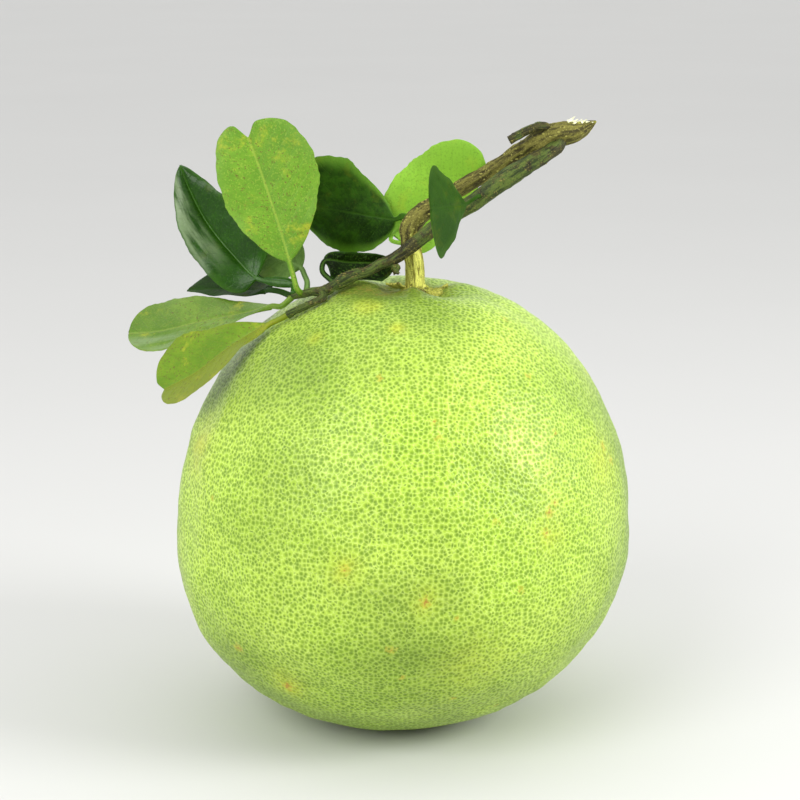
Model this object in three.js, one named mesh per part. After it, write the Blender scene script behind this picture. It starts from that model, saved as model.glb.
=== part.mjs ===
// A pomelo as picked: the fruit, the calyx round its stalk, the woody stalk with its torn end,
// the leafy shoot that grows beside it, and ten leaves.
// Millimetres, +Z up. The origin is the centre of the flat spot that the fruit rests on.
// +X is to the right and -Y to the front.
import * as THREE from 'three';

// ---- Driving dimensions ----
const FRUIT_WIDTH = 162;        // across the widest place
const FRUIT_HEIGHT = 160;       // of the rounded form, before the crown dips round the stalk
const WIDEST_HEIGHT = 68;       // of the widest place above the flat spot
const FLAT_SPOT_WIDTH = 42;     // across the spot that the fruit rests on
const BELLY_LEAN = 3.4;         // the widest place stands this far to the right of the flat spot
const UPPER_SQUARENESS = 2.07;  // 2 is an ellipse, and more is squarer
const LOWER_SQUARENESS = 2.12;
const CROWN_HOLLOW = 5.5;       // depth of the hollow round the stalk
const HOLLOW_REACH = 20;        // how far out from the stalk the hollow is felt
const LOBE_COUNT = 4;           // soft lobes that the crown folds into round the calyx
const LOBE_RISE = 0.8;
const LOBE_REACH = 13;
const STALK_OFFSET = 4.1;       // the stalk stands this far to the right of the fruit's core

const CALYX_WIDTH = 17;
const CALYX_THICKNESS = 1.3;
const CALYX_SEPALS = 5;
const SEPAL_NOTCH = 0.14;       // how far the rim draws in between sepals, as a share of its reach
const RIM_THINNING = 0.6;       // how much of its thickness the calyx loses at its rim
const STALK_WIDTH = 7;          // at the fruit
const STALK_LENGTH_SCALE = 1;   // 1 is the stalk and its branch as they grew
const TEAR_LENGTH = 7.5;        // the longest splinter of the torn end
const LONG_SPLINTER = 0.62;     // where it stands, as a share of the way round
const SHORT_SPLINTER = 0.1;
const SHORT_SHARE = 0.3;        // the short splinter's length as a share of the long one's
const SHOOT_WIDTH = 5;          // the leafy shoot where it leaves the branch
const LOWER_SHOOT_WIDTH = 2.6;
const STUB_WIDTH = 3.2;
const SPUR_WIDTH = 3;
const PETIOLE_WIDTH = 1.9;
const LEAF_THICKNESS = 0.6;
const MIDRIB_DEPTH = 0.5;       // the midrib stands this far out of the underside
const LEAF_SCALE = 1;           // 1 is the blades' grown size
const EDGE_FULLNESS = 0.9;      // a blade's thickness halfway out, as a share of the middle's
const BASE_LENGTH = 0.25;       // share of the blade over which the petiole flattens into it
const PETIOLE_TAPER = 0.5;      // share of its width that the midrib loses by the widest place
const LOBE_PLACE = 0.8;         // a notched tip's lobes stand furthest out about here

const CLEARANCE = 0.3;          // between pieces that touch
const JOINT_GAP = 0.5;          // between a twig and what grows out of its round side

// ---- How finely the surfaces are faceted ----
const FRUIT_SIDES = 56;
const FRUIT_RINGS = 34;
const CROWN_FINENESS = 1.6;     // above 1, the rings crowd towards the crown
const CALYX_SIDES = 40;
const CALYX_STEPS = 3;
const TWIG_SIDES = 10;
const TWIG_STEPS_PER_POINT = 3;
const STEEP = 0.9;              // a twig that rises more than this share of its length
const PETIOLE_RINGS = 6;
const BLADE_RINGS = 12;
const CURVE_SAMPLES = 12;       // per control point, for measuring along a leaf

// ---- The skin of the fruit ----
const fruitRadius = FRUIT_WIDTH / 2;
const upperRise = FRUIT_HEIGHT - WIDEST_HEIGHT;
const flatRadius = FLAT_SPOT_WIDTH / 2;
const lowerDrop = WIDEST_HEIGHT
  / (1 - (flatRadius / fruitRadius) ** LOWER_SQUARENESS) ** (1 / LOWER_SQUARENESS);
const stalkX = BELLY_LEAN + STALK_OFFSET;
const core = new THREE.Vector3(BELLY_LEAN, 0, WIDEST_HEIGHT);
const UP = new THREE.Vector3(0, 0, 1);

// Height that the crown's hollow and lobes add to the rounded form.
function crownRelief(x, y) {
  const reach = Math.hypot(x - stalkX, y);
  const around = Math.atan2(y, x - stalkX);
  const ring = (reach / LOBE_REACH) ** 2 * Math.exp(1 - (reach / LOBE_REACH) ** 2);
  const hollow = CROWN_HOLLOW * Math.exp(-((reach / HOLLOW_REACH) ** 2));
  return LOBE_RISE * Math.cos(LOBE_COUNT * around) * ring - hollow;
}

// Distance from the core to the rounded form, at an angle down from straight up.
function skinRadius(down) {
  const upper = down < Math.PI / 2;
  const rise = upper ? upperRise : lowerDrop;
  const power = upper ? UPPER_SQUARENESS : LOWER_SQUARENESS;
  const sideways = (Math.sin(down) / fruitRadius) ** power;
  return (sideways + (Math.abs(Math.cos(down)) / rise) ** power) ** (-1 / power);
}

function skinPoint(around, down) {
  const radius = skinRadius(down);
  const out = radius * Math.sin(down);
  const z = Math.max(0, WIDEST_HEIGHT + radius * Math.cos(down));
  const lean = BELLY_LEAN * Math.min(1, z / WIDEST_HEIGHT);
  const point = new THREE.Vector3(lean + out * Math.cos(around), out * Math.sin(around), z);
  if (z > WIDEST_HEIGHT) point.z += crownRelief(point.x, point.y);
  return point;
}

// Height of the skin above the flat spot, anywhere on the upper half.
function skinHeight(x, y) {
  const out = Math.hypot(x - core.x, y) / fruitRadius;
  const rise = upperRise * (1 - out ** UPPER_SQUARENESS) ** (1 / UPPER_SQUARENESS);
  return WIDEST_HEIGHT + rise + crownRelief(x, y);
}

// Where the stalk leaves the crown. Twigs and leaves are placed from here.
const seat = new THREE.Vector3(stalkX, 0, skinHeight(stalkX, 0));

// Moves a point straight out from the core until it stands at least `gap` off the skin.
function clearOfSkin(point, gap) {
  const away = point.clone().sub(core);
  const down = away.angleTo(UP);
  const relief = away.z > 0 ? crownRelief(point.x, point.y) * Math.cos(down) : 0;
  const least = skinRadius(down) + relief + gap;
  if (away.length() < least) away.setLength(least);
  return away.add(core);
}

// ---- Closed solids from rings of points ----
// The rings run counter-clockwise about the direction from the first ring to the last.
function closedLoft(rings) {
  const count = rings[0].length;
  const points = rings.flat();
  const index = [];
  for (let ring = 0; ring < rings.length - 1; ring += 1) {
    for (let side = 0; side < count; side += 1) {
      const a = ring * count + side;
      const b = ring * count + (side + 1) % count;
      index.push(a, b, b + count, a, b + count, a + count);
    }
  }
  const last = (rings.length - 1) * count;
  const firstCentre = points.push(middle(rings[0])) - 1;
  const lastCentre = points.push(middle(rings[rings.length - 1])) - 1;
  for (let side = 0; side < count; side += 1) {
    const next = (side + 1) % count;
    index.push(firstCentre, next, side);
    index.push(lastCentre, last + side, last + next);
  }
  const geometry = new THREE.BufferGeometry().setFromPoints(points);
  geometry.setIndex(index);
  geometry.computeVertexNormals();
  return geometry;
}

function middle(ring) {
  const sum = new THREE.Vector3();
  ring.forEach((point) => sum.add(point));
  return sum.divideScalar(ring.length);
}

function ringPoint(centre, side, other, radius, angle) {
  return centre.clone()
    .addScaledVector(side, radius * Math.cos(angle))
    .addScaledVector(other, radius * Math.sin(angle));
}

// ---- Materials ----
function material(color, roughness) {
  return new THREE.MeshStandardMaterial({ color, roughness, metalness: 0 });
}

const materials = {
  skin: material('#b4dc58', 0.42),
  calyx: material('#a8a04a', 0.8),
  bark: material('#8a7b4c', 0.85),
  green_bark: material('#6c7c45', 0.7),
  leaf_light: material('#79b52f', 0.45),
  leaf_dark: material('#2f5f17', 0.3),
  leaf_pale: material('#9fdb55', 0.5),
};

const pomelo = new THREE.Group();

function add(name, geometry, slot) {
  const mesh = new THREE.Mesh(geometry, materials[slot]);
  mesh.name = name;
  pomelo.add(mesh);
}

// ---- The fruit: one solid, with a flat spot under it ----
function fruitGeometry() {
  const rimDown = Math.PI - Math.atan2(flatRadius, WIDEST_HEIGHT);
  const rings = [];
  for (let ring = 0; ring <= FRUIT_RINGS; ring += 1) {
    const down = rimDown * (1 - ring / (FRUIT_RINGS + 1)) ** CROWN_FINENESS;
    const points = [];
    for (let side = 0; side < FRUIT_SIDES; side += 1) {
      points.push(skinPoint(2 * Math.PI * side / FRUIT_SIDES, down));
    }
    rings.push(points);
  }
  rings[0].forEach((point) => point.setZ(0));
  return closedLoft(rings);
}

add('fruit', fruitGeometry(), 'skin');

// ---- Twigs: round sections along a smooth line, each point with its own thickness ----
// A row is [x, y, z from the seat, thickness as a share of the twig's width].
// A twig with a startAt function grows from another, and stays clear of the skin.
function makeTwig(rows, width, startAt = null) {
  const shares = rows.map((row) => row[3]);
  const points = rows.map(([x, y, z, share]) => {
    const point = new THREE.Vector3(x, y, z).add(seat);
    return startAt ? clearOfSkin(point, share * width / 2 + CLEARANCE + JOINT_GAP) : point;
  });
  if (startAt) {
    points.unshift(startAt(points[0]));
    shares.unshift(shares[0]);
  }
  const curve = new THREE.CatmullRomCurve3(points, false, 'centripetal');
  const radiusAt = (t) => {
    const place = t * (shares.length - 1);
    const before = Math.min(Math.floor(place), shares.length - 2);
    const share = THREE.MathUtils.lerp(shares[before], shares[before + 1], place - before);
    return share * width / 2;
  };
  return { curve, radiusAt, steps: (points.length - 1) * TWIG_STEPS_PER_POINT };
}

// The place on a twig's surface nearest to a point, with the gap that a joint keeps.
function surfaceOf(twig) {
  return (point) => {
    let best = 0;
    const tries = twig.steps * CURVE_SAMPLES;
    for (let i = 0; i <= tries; i += 1) {
      const nearer = twig.curve.getPoint(i / tries).distanceTo(point)
        < twig.curve.getPoint(best).distanceTo(point);
      if (nearer) best = i / tries;
    }
    const centre = twig.curve.getPoint(best);
    const out = point.clone().sub(centre).normalize();
    return centre.addScaledVector(out, twig.radiusAt(best) + JOINT_GAP);
  };
}

// `tear` gives how far each point of the last ring reaches past the end.
function twigGeometry(twig, tear = null) {
  const rings = [];
  const steep = Math.abs(twig.curve.getTangent(0).z) > STEEP;
  const side = steep ? new THREE.Vector3(1, 0, 0) : UP.clone();
  for (let step = 0; step <= twig.steps; step += 1) {
    const t = step / twig.steps;
    const centre = twig.curve.getPoint(t);
    const along = twig.curve.getTangent(t);
    side.addScaledVector(along, -side.dot(along)).normalize();
    const other = along.clone().cross(side);
    const ring = [];
    for (let i = 0; i < TWIG_SIDES; i += 1) {
      const angle = 2 * Math.PI * i / TWIG_SIDES;
      const point = ringPoint(centre, side, other, twig.radiusAt(t), angle);
      if (tear && step === twig.steps) point.addScaledVector(along, tear(i / TWIG_SIDES));
      ring.push(point);
    }
    rings.push(ring);
  }
  return closedLoft(rings);
}

// The woody stalk: up from the crown, over a knot, and away as a branch to its torn end.
const stalkRows = [
  [0, 0, CLEARANCE + JOINT_GAP, 1.0], [0, 0, 5, 0.96], [-0.5, 0, 10.5, 0.92], [-1.2, 0, 16, 0.9],
  [-2, 0, 21.5, 1.02], [-1, 0.5, 26, 1.0], [3, 1.5, 30, 0.88], [8.7, 2, 32.6, 0.8],
  [16, 2.5, 35, 0.72], [24.5, 3, 40, 0.7], [31, 3, 44.5, 0.7], [37.5, 2, 49, 0.78],
  [44, 0, 53, 1.08], [49, -1, 55, 1.2], [53.5, -2, 56, 1.05],
].map(([x, y, z, share]) => [
  x * STALK_LENGTH_SCALE, y * STALK_LENGTH_SCALE, z * STALK_LENGTH_SCALE, share]);
const stalk = makeTwig(stalkRows, STALK_WIDTH);

// One long splinter and a shorter one, as wood tears.
function torn(around) {
  const long = Math.max(0, Math.cos(2 * Math.PI * (around - LONG_SPLINTER))) ** 2;
  const short = Math.max(0, Math.cos(2 * Math.PI * (around - SHORT_SPLINTER))) ** 4;
  return TEAR_LENGTH * (long + SHORT_SHARE * short);
}

add('fruit_stalk', twigGeometry(stalk, torn), 'bark');

// ---- The calyx: a dried ring of sepals, flat on the crown round the stalk ----
function calyxGeometry() {
  const inner = STALK_WIDTH / 2 + CLEARANCE;
  const outer = CALYX_WIDTH / 2;
  const rings = [];
  for (let side = 0; side < CALYX_SIDES; side += 1) {
    const around = 2 * Math.PI * side / CALYX_SIDES;
    const sepal = 1 - SEPAL_NOTCH * (1 - Math.abs(Math.cos(CALYX_SEPALS * around / 2)));
    const under = [];
    const over = [];
    for (let step = 0; step <= CALYX_STEPS; step += 1) {
      const out = step / CALYX_STEPS;
      const reach = THREE.MathUtils.lerp(inner, outer * sepal, out);
      const x = seat.x + reach * Math.cos(around);
      const y = reach * Math.sin(around);
      const bottom = skinHeight(x, y) + CLEARANCE;
      const thick = CALYX_THICKNESS * (1 - RIM_THINNING * out ** 2);
      under.push(new THREE.Vector3(x, y, bottom));
      over.push(new THREE.Vector3(x, y, bottom + thick));
    }
    rings.push([...under, ...over.reverse()]);
  }
  return closedBand(rings);
}

// Rings joined end to end round an axis, so the solid has a hole through it.
function closedBand(rings) {
  const count = rings[0].length;
  const geometry = new THREE.BufferGeometry().setFromPoints(rings.flat());
  const index = [];
  for (let ring = 0; ring < rings.length; ring += 1) {
    for (let side = 0; side < count; side += 1) {
      const a = ring * count + side;
      const b = ring * count + (side + 1) % count;
      const c = ((ring + 1) % rings.length) * count + side;
      const d = ((ring + 1) % rings.length) * count + (side + 1) % count;
      index.push(a, d, b, a, c, d);
    }
  }
  geometry.setIndex(index);
  geometry.computeVertexNormals();
  return geometry;
}

add('calyx', calyxGeometry(), 'calyx');

// ---- The leafy shoot and the small twigs ----
const shoot = makeTwig([
  [44.5, -6, 47, 0.8], [39.5, -6.3, 44, 1], [32.5, -6.2, 39.8, 1.04], [26.5, -6.4, 35.3, 1.06],
  [18, -7, 29.5, 1.1], [12, -7.5, 26.5, 1.06], [6, -8, 22.5, 1.02], [-1.5, -8.2, 16.5, 0.98],
  [-6.5, -8, 13, 0.86], [-12, -8, 10.5, 0.76], [-17, -8.5, 8, 0.72], [-22.5, -9.5, 6.5, 0.9],
  [-27.5, -11.5, 4, 0.8], [-31.5, -13, 2, 0.7], [-36, -11.5, 1.5, 0.56], [-40.5, -10, 0, 0.5],
  [-44, -9, -1, 0.42],
], SHOOT_WIDTH, surfaceOf(stalk));
add('leafy_shoot', twigGeometry(shoot), 'green_bark');

const lowerShoot = makeTwig([
  [-32, -17, 0, 1], [-36, -18, -1.5, 0.95], [-40.5, -18, -3.5, 0.9], [-44, -17.5, -5.5, 1],
], LOWER_SHOOT_WIDTH, surfaceOf(shoot));
add('lower_shoot', twigGeometry(lowerShoot), 'green_bark');

const stub = makeTwig([
  [43.4, -2, 58.9, 0.55], [41.6, -2.6, 58.9, 0.7], [39, -3, 57.2, 0.95], [35.5, -3.3, 55, 0.95],
  [32.3, -3.3, 53, 1],
], STUB_WIDTH, surfaceOf(stalk));
add('cut_side_shoot', twigGeometry(stub), 'green_bark');

const spur = makeTwig([
  [-6.9, -8.8, 9.2, 1], [-6.4, -9.2, 7.4, 0.85],
], SPUR_WIDTH, surfaceOf(shoot));
add('broken_spur', twigGeometry(spur), 'green_bark');

// ---- Leaves ----
// petiole, blade: points from the seat along the leaf's stalk and midrib, to the tip's notch.
// face: which way the upper side looks, at the base and at the tip.
// halves: half-widths, to the left and right of the midrib with the upper side up.
// widest: where, from 0 at the blade's base to 1 at its tip. base, tip: how full the ends are.
// lift: degrees that each half rises off the flat. notch: how far the tip's lobes pass the midrib.
const leaves = [
  {
    name: 'leaf_upright', slot: 'leaf_light', twig: shoot,
    petiole: [[-41, -12.5, 3], [-42, -12, 6.5]],
    blade: [[-43.5, -11, 12], [-46.5, -9, 22.5], [-50, -7, 33], [-54, -5, 44.5], [-57.5, -4, 53]],
    face: [[0.1, -1, 0.1], [0, -1, -0.1]], halves: [15.5, 18.5],
    widest: 0.62, base: 1.4, tip: 3, lift: [6, 4], notch: 6,
  },
  {
    name: 'leaf_glossy', slot: 'leaf_dark', twig: shoot,
    petiole: [[-42.5, -6, 3], [-49, -4, 3.8]],
    blade: [[-55.5, -1, 4.5], [-63.5, 3, 11.5], [-73.5, 8, 23], [-79.5, 11, 34], [-83, 13, 42.5]],
    face: [[-0.1, -1, 0.3], [-0.2, -1, 0.2]], halves: [15, 15],
    widest: 0.42, base: 2, tip: 1.35, lift: [24, 24], notch: 0,
  },
  {
    name: 'leaf_shaded', slot: 'leaf_dark', twig: stalk,
    petiole: [[-4.5, 7, 25]],
    blade: [[-7, 8.5, 24], [-14, 11, 24.5], [-23, 14, 25.5], [-32, 17, 26.5], [-40, 19, 26.5]],
    face: [[0, -1, 0], [0.2, -1, 0]], halves: [15.5, 20],
    widest: 0.52, base: 1.7, tip: 2.2, lift: [4, 4], notch: 1,
  },
  {
    name: 'leaf_pale', slot: 'leaf_pale', twig: stalk,
    petiole: [[-5.5, 5.5, 16], [-8.5, 9.5, 16.4]],
    blade: [[-8, 12, 18], [0, 14, 23.5], [9, 15, 30], [17.5, 14, 37], [25, 12, 43]],
    face: [[0, -1, 0], [0.1, -1, 0.1]], halves: [18, 17],
    widest: 0.5, base: 2, tip: 2.5, lift: [3, 3], notch: 1.5,
  },
  {
    name: 'leaf_small', slot: 'leaf_dark', twig: shoot,
    petiole: [[21.5, -12, 35]],
    blade: [[17.5, -13.5, 32.5], [14.5, -19, 32.8], [10, -26, 33.2], [5.5, -32, 33.6]],
    face: [[0.85, -0.5, 0], [0.85, -0.5, 0]], halves: [17, 14],
    widest: 0.86, base: 1.15, tip: 3, lift: [2, 2], notch: 1.5,
  },
  {
    name: 'leaf_curled', slot: 'leaf_dark', twig: shoot,
    petiole: [[-29.5, -7, 5], [-32.5, -3, 7.5]],
    blade: [[-31.5, 0, 10.5], [-23, 3, 9.5], [-14, 5, 9], [-7, 7, 8.5]],
    face: [[0, -1, 0.25], [0, -1, 0.25]], halves: [4, 9],
    widest: 0.4, base: 2.4, tip: 2, lift: [30, 8], notch: 0,
  },
  {
    name: 'leaf_left_upper', slot: 'leaf_light', twig: shoot,
    petiole: [[-46.5, -11, -3.6]],
    blade: [[-50, -8, -4.2], [-57.5, -4, -6.8], [-68.5, 0, -9.7], [-79, 3, -12.5], [-90, 5, -15.5],
      [-102, 7, -17]],
    face: [[0, -0.41, 0.91], [0, -0.41, 0.91]], halves: [8.6, 16],
    widest: 0.7, base: 1.2, tip: 2.3, lift: [-12, 9], notch: 0,
  },
  {
    name: 'leaf_left_lower', slot: 'leaf_light', twig: lowerShoot,
    petiole: [[-47, -18, -7]],
    blade: [[-50, -18, -8.4], [-57, -18, -12], [-66, -17.5, -18], [-76, -16, -26],
      [-87.5, -14.5, -32.5]],
    face: [[-0.45, -0.6, 0.65], [-0.57, -0.59, 0.57]], halves: [14, 17],
    widest: 0.7, base: 1.5, tip: 2.8, lift: [25, 3], notch: 3,
  },
  {
    name: 'leaf_under', slot: 'leaf_dark', twig: shoot,
    petiole: [[-47, -5.5, 0.5], [-51, -1, 0.3]],
    blade: [[-55, 6, -0.3], [-62, 14, -0.3], [-72, 20, -1.8], [-80, 23, -4.5]],
    face: [[0, -0.05, 1], [0, -0.05, 1]], halves: [8, 10],
    widest: 0.5, base: 1.7, tip: 1.6, lift: [8, 8], notch: 0,
  },
  {
    name: 'leaf_rear', slot: 'leaf_dark', twig: shoot,
    petiole: [[-38.5, -6, 4], [-40, -1, 5.5]],
    blade: [[-41, 3, 7.5], [-47.5, 9, 10], [-54, 14, 13], [-60, 17, 16]],
    face: [[0, -1, 0.2], [0, -1, 0.2]], halves: [9, 12],
    widest: 0.5, base: 1.8, tip: 1.8, lift: [5, 5], notch: 0,
  },
];

// Half-width of a blade as a share of its widest, from its base (0) to its tip (1).
function outline(leaf, along) {
  const before = along < leaf.widest;
  const away = before ? 1 - along / leaf.widest : (along - leaf.widest) / (1 - leaf.widest);
  const power = before ? leaf.base : leaf.tip;
  return Math.max(0, 1 - away ** power) ** (1 / power);
}

// One leaf in one piece: a round petiole that widens into a thin blade.
function leafGeometry(leaf) {
  const grown = leaf.blade.map(([x, y, z]) => new THREE.Vector3(x, y, z).add(seat));
  const base = grown[0].clone();
  const blade = grown.map((point) => (
    clearOfSkin(point.sub(base).multiplyScalar(LEAF_SCALE).add(base), 1 + CLEARANCE)));
  const petiole = leaf.petiole.map(([x, y, z]) => (
    clearOfSkin(new THREE.Vector3(x, y, z).add(seat), PETIOLE_WIDTH / 2 + CLEARANCE)));
  const start = surfaceOf(leaf.twig)(petiole[0]);
  const curve = new THREE.CatmullRomCurve3([start, ...petiole, ...blade], false, 'centripetal');
  const lengths = curve.getLengths((petiole.length + blade.length) * CURVE_SAMPLES);
  const bladeStart = lengths[(petiole.length + 1) * CURVE_SAMPLES] / curve.getLength();
  const faces = leaf.face.map((direction) => new THREE.Vector3(...direction).normalize());

  function ringAt(place) {
    const along = Math.max(0, (place - bladeStart) / (1 - bladeStart));
    const centre = curve.getPointAt(place);
    const forward = curve.getTangentAt(place);
    const upward = faces[0].clone().lerp(faces[1], along);
    const across = forward.clone().cross(upward).normalize();
    upward.copy(across).cross(forward);
    const round = PETIOLE_WIDTH / 2 * (1 - PETIOLE_TAPER * Math.min(1, along / leaf.widest));
    const thick = Math.max(LEAF_THICKNESS / 2, round * (1 - along / BASE_LENGTH));
    const fuller = thick * EDGE_FULLNESS;

    // A point on the leaf's middle surface: share runs from -1 at one edge to 1 at the other.
    const spread = (share) => {
      const half = share < 0 ? 0 : 1;
      const width = Math.max(round, LEAF_SCALE * leaf.halves[half] * outline(leaf, along));
      const reach = Math.abs(share) * width;
      const tilt = THREE.MathUtils.degToRad(leaf.lift[half]) * Math.min(1, along / BASE_LENGTH);
      const tipward = THREE.MathUtils.smoothstep(along, leaf.widest, 1);
      const lobe = leaf.notch * LEAF_SCALE * tipward * Math.sin(Math.PI * Math.abs(share) * LOBE_PLACE);
      const point = centre.clone()
        .addScaledVector(across, Math.sign(share) * reach * Math.cos(tilt))
        .addScaledVector(upward, reach * Math.sin(tilt))
        .addScaledVector(forward, lobe);
      return clearOfSkin(point, thick + CLEARANCE + JOINT_GAP);
    };
    const rib = along > 0 ? MIDRIB_DEPTH * (1 - along) : 0;
    const at = (share, height) => spread(share).addScaledVector(upward, height);
    return [
      at(-1, 0), at(-0.5, fuller), at(0, thick), at(0.5, fuller),
      at(1, 0), at(0.5, -fuller), at(0, -thick - rib), at(-0.5, -fuller),
    ];
  }

  const rings = [];
  for (let i = 0; i < PETIOLE_RINGS; i += 1) rings.push(ringAt(bladeStart * i / PETIOLE_RINGS));
  for (let i = 0; i <= BLADE_RINGS; i += 1) {
    const eased = Math.sin(Math.PI / 2 * i / BLADE_RINGS);
    rings.push(ringAt(Math.min(1, bladeStart + (1 - bladeStart) * eased)));
  }
  return closedLoft(rings);
}

leaves.forEach((leaf) => add(leaf.name, leafGeometry(leaf), leaf.slot));

export default pomelo;
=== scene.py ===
import math

import bpy
import numpy as np
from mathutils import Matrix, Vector


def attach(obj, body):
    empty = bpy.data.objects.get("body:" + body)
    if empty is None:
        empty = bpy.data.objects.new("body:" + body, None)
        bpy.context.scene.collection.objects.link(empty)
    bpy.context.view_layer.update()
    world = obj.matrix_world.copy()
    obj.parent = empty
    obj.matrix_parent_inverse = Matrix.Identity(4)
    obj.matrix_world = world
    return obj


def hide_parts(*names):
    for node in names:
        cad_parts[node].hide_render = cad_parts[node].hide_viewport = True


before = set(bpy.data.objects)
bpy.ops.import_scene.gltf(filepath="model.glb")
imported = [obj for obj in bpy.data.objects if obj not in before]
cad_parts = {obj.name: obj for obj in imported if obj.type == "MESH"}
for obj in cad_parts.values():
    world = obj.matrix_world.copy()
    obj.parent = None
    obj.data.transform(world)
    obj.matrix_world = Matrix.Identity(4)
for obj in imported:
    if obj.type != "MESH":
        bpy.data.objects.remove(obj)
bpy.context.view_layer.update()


# ---------------------------------------------------------------------------
# The fruit: a whole pomelo in its thick green rind, which is set all over
# with oil glands. It grew in one piece, a little fuller to the right, with a
# dished crown round the stalk and a small flat spot where it lies.
MM = 0.001
fruit_width = 162
fruit_height = 160
widest_height = 68
flat_spot_width = 42
belly_lean = 3.4
upper_squareness = 2.07
lower_squareness = 2.12
crown_hollow = 5.5
hollow_reach = 20
lobe_count = 4
lobe_rise = 0.8
lobe_reach = 13
stalk_offset = 4.1
# Each swelling or hollow: how far right of the stalk, how far behind it, its rise and its width.
crown_bumps = [
    (16, 2, 1.4, 6), (7.5, 4, -1.6, 4.5), (-2, -10, 1.7, 4.6), (-18, -8, 1.1, 6),
    (-9.5, -3, -1.2, 4), (9, -9, -0.8, 5)]
rind_fineness = 124
lump_rise = 0.38
small_lump_rise = 0.1
crease_bearing = math.radians(-58)
crease_depth = 2.0
dimple_depth = 1.4

half_width = fruit_width / 2
flat_half = flat_spot_width / 2
upper_rise = fruit_height - widest_height
lower_drop = widest_height / (
    1 - (flat_half / half_width) ** lower_squareness) ** (1 / lower_squareness)
core = np.array([belly_lean, 0, widest_height])
stalk_x = belly_lean + stalk_offset


def crown_relief(x, y):
    reach = np.hypot(x - stalk_x, y)
    around = np.arctan2(y, x - stalk_x)
    ring = (reach / lobe_reach) ** 2 * np.exp(1 - (reach / lobe_reach) ** 2)
    relief = lobe_rise * np.cos(lobe_count * around) * ring
    relief = relief - crown_hollow * np.exp(-((reach / hollow_reach) ** 2))
    for right, back, rise, width in crown_bumps:
        apart = np.hypot(x - stalk_x - right, y - back)
        relief = relief + rise * np.exp(-((apart / width) ** 2))
    return relief


def rind_radius(down):
    upper = down < np.pi / 2
    rise = np.where(upper, upper_rise, lower_drop)
    power = np.where(upper, upper_squareness, lower_squareness)
    sideways = (np.sin(down) / half_width) ** power
    return (sideways + (np.abs(np.cos(down)) / rise) ** power) ** (-1 / power)


def rind_height(x, y):
    out = np.hypot(x - core[0], y) / half_width
    rise = upper_rise * (1 - out ** upper_squareness) ** (1 / upper_squareness)
    return widest_height + rise + crown_relief(x, y)


def swells(points, length, seed, count=16):
    """A smooth random rise and fall, mostly between -1 and 1, about `length` from crest to crest."""
    chance = np.random.default_rng(seed)
    total = np.zeros(len(points))
    for _ in range(count):
        way = chance.normal(size=3)
        way *= 2 * np.pi / np.linalg.norm(way) / (length * chance.uniform(0.75, 1.35))
        total += np.sin(points @ way + chance.uniform(0, 2 * np.pi))
    return total / math.sqrt(count)


def cube_round(fineness):
    """Directions, faces and unwrapped corners of a ball made from a cube, so it has no poles."""
    steps = np.tan(np.linspace(-np.pi / 4, np.pi / 4, fineness + 1))
    u, v = np.meshgrid(steps, steps, indexing="ij")
    one = np.ones_like(u)
    sides = [(one, u, v), (-one, -u, v), (-u, one, v), (u, -one, v), (u, v, one), (u, -v, -one)]
    corners = np.concatenate([np.stack(side, -1).reshape(-1, 3) for side in sides])
    shared, which = np.unique(np.round(corners * 1e6).astype(np.int64), axis=0, return_inverse=True)
    which = which.reshape(-1)
    places = np.zeros((len(shared), 3))
    places[which] = corners
    places /= np.linalg.norm(places, axis=1)[:, None]
    row = fineness + 1
    i, j = np.meshgrid(np.arange(fineness), np.arange(fineness), indexing="ij")
    first = i * row + j
    quad = np.stack([first, first + row, first + row + 1, first + 1], -1).reshape(-1, 4)
    margin = 0.006
    share = np.linspace(0, 1, row)
    grid = np.stack(np.meshgrid(share, share, indexing="ij"), -1).reshape(-1, 2)
    faces = []
    unwrapped = []
    for side in range(6):
        faces.append(which[quad + side * row * row])
        cell = np.array([side % 3, side // 3])
        tile = (cell + margin + grid * (1 - 2 * margin)) / np.array([3, 2])
        unwrapped.append(tile[quad])
    return places, np.concatenate(faces), np.concatenate(unwrapped).reshape(-1, 2)


def solid_from(name, points, faces, finish):
    """A smooth mesh object from points in millimetres, with its place in its mesh."""
    mesh = bpy.data.meshes.new(name)
    mesh.from_pydata((np.asarray(points) * MM).tolist(), [], [list(face) for face in faces])
    mesh.polygons.foreach_set("use_smooth", [True] * len(mesh.polygons))
    mesh.materials.append(finish)
    mesh.update()
    piece = bpy.data.objects.new(name, mesh)
    bpy.context.scene.collection.objects.link(piece)
    return piece


def mark_points(piece, name, values):
    """Keeps one number, or one vector, for each point of a piece, for its finish to read."""
    values = np.asarray(values, dtype=np.float32)
    kind = "FLOAT" if values.ndim == 1 else "FLOAT_VECTOR"
    layer = piece.data.attributes.new(name, kind, "POINT")
    layer.data.foreach_set("value" if values.ndim == 1 else "vector", values.ravel())


def paint(red, green, blue):
    """A colour from its 0 to 255 screen values."""
    parts = []
    for part in (red, green, blue):
        share = part / 255
        parts.append(share / 12.92 if share <= 0.04045 else ((share + 0.055) / 1.055) ** 2.4)
    return (*parts, 1.0)


def put(tree, kind, inputs=None, **settings):
    """Adds a node, sets it up, and joins or fills its inputs."""
    node = tree.nodes.new(kind)
    for key, value in settings.items():
        setattr(node, key, value)
    for key, value in (inputs or {}).items():
        if isinstance(value, bpy.types.NodeSocket):
            tree.links.new(value, node.inputs[key])
        else:
            node.inputs[key].default_value = value
    return node


def calc(tree, operation, *values):
    node = put(tree, "ShaderNodeMath", dict(enumerate(values)), operation=operation)
    return node.outputs[0]


def vector_calc(tree, operation, *values):
    return put(tree, "ShaderNodeVectorMath", dict(enumerate(values)), operation=operation)


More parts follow.
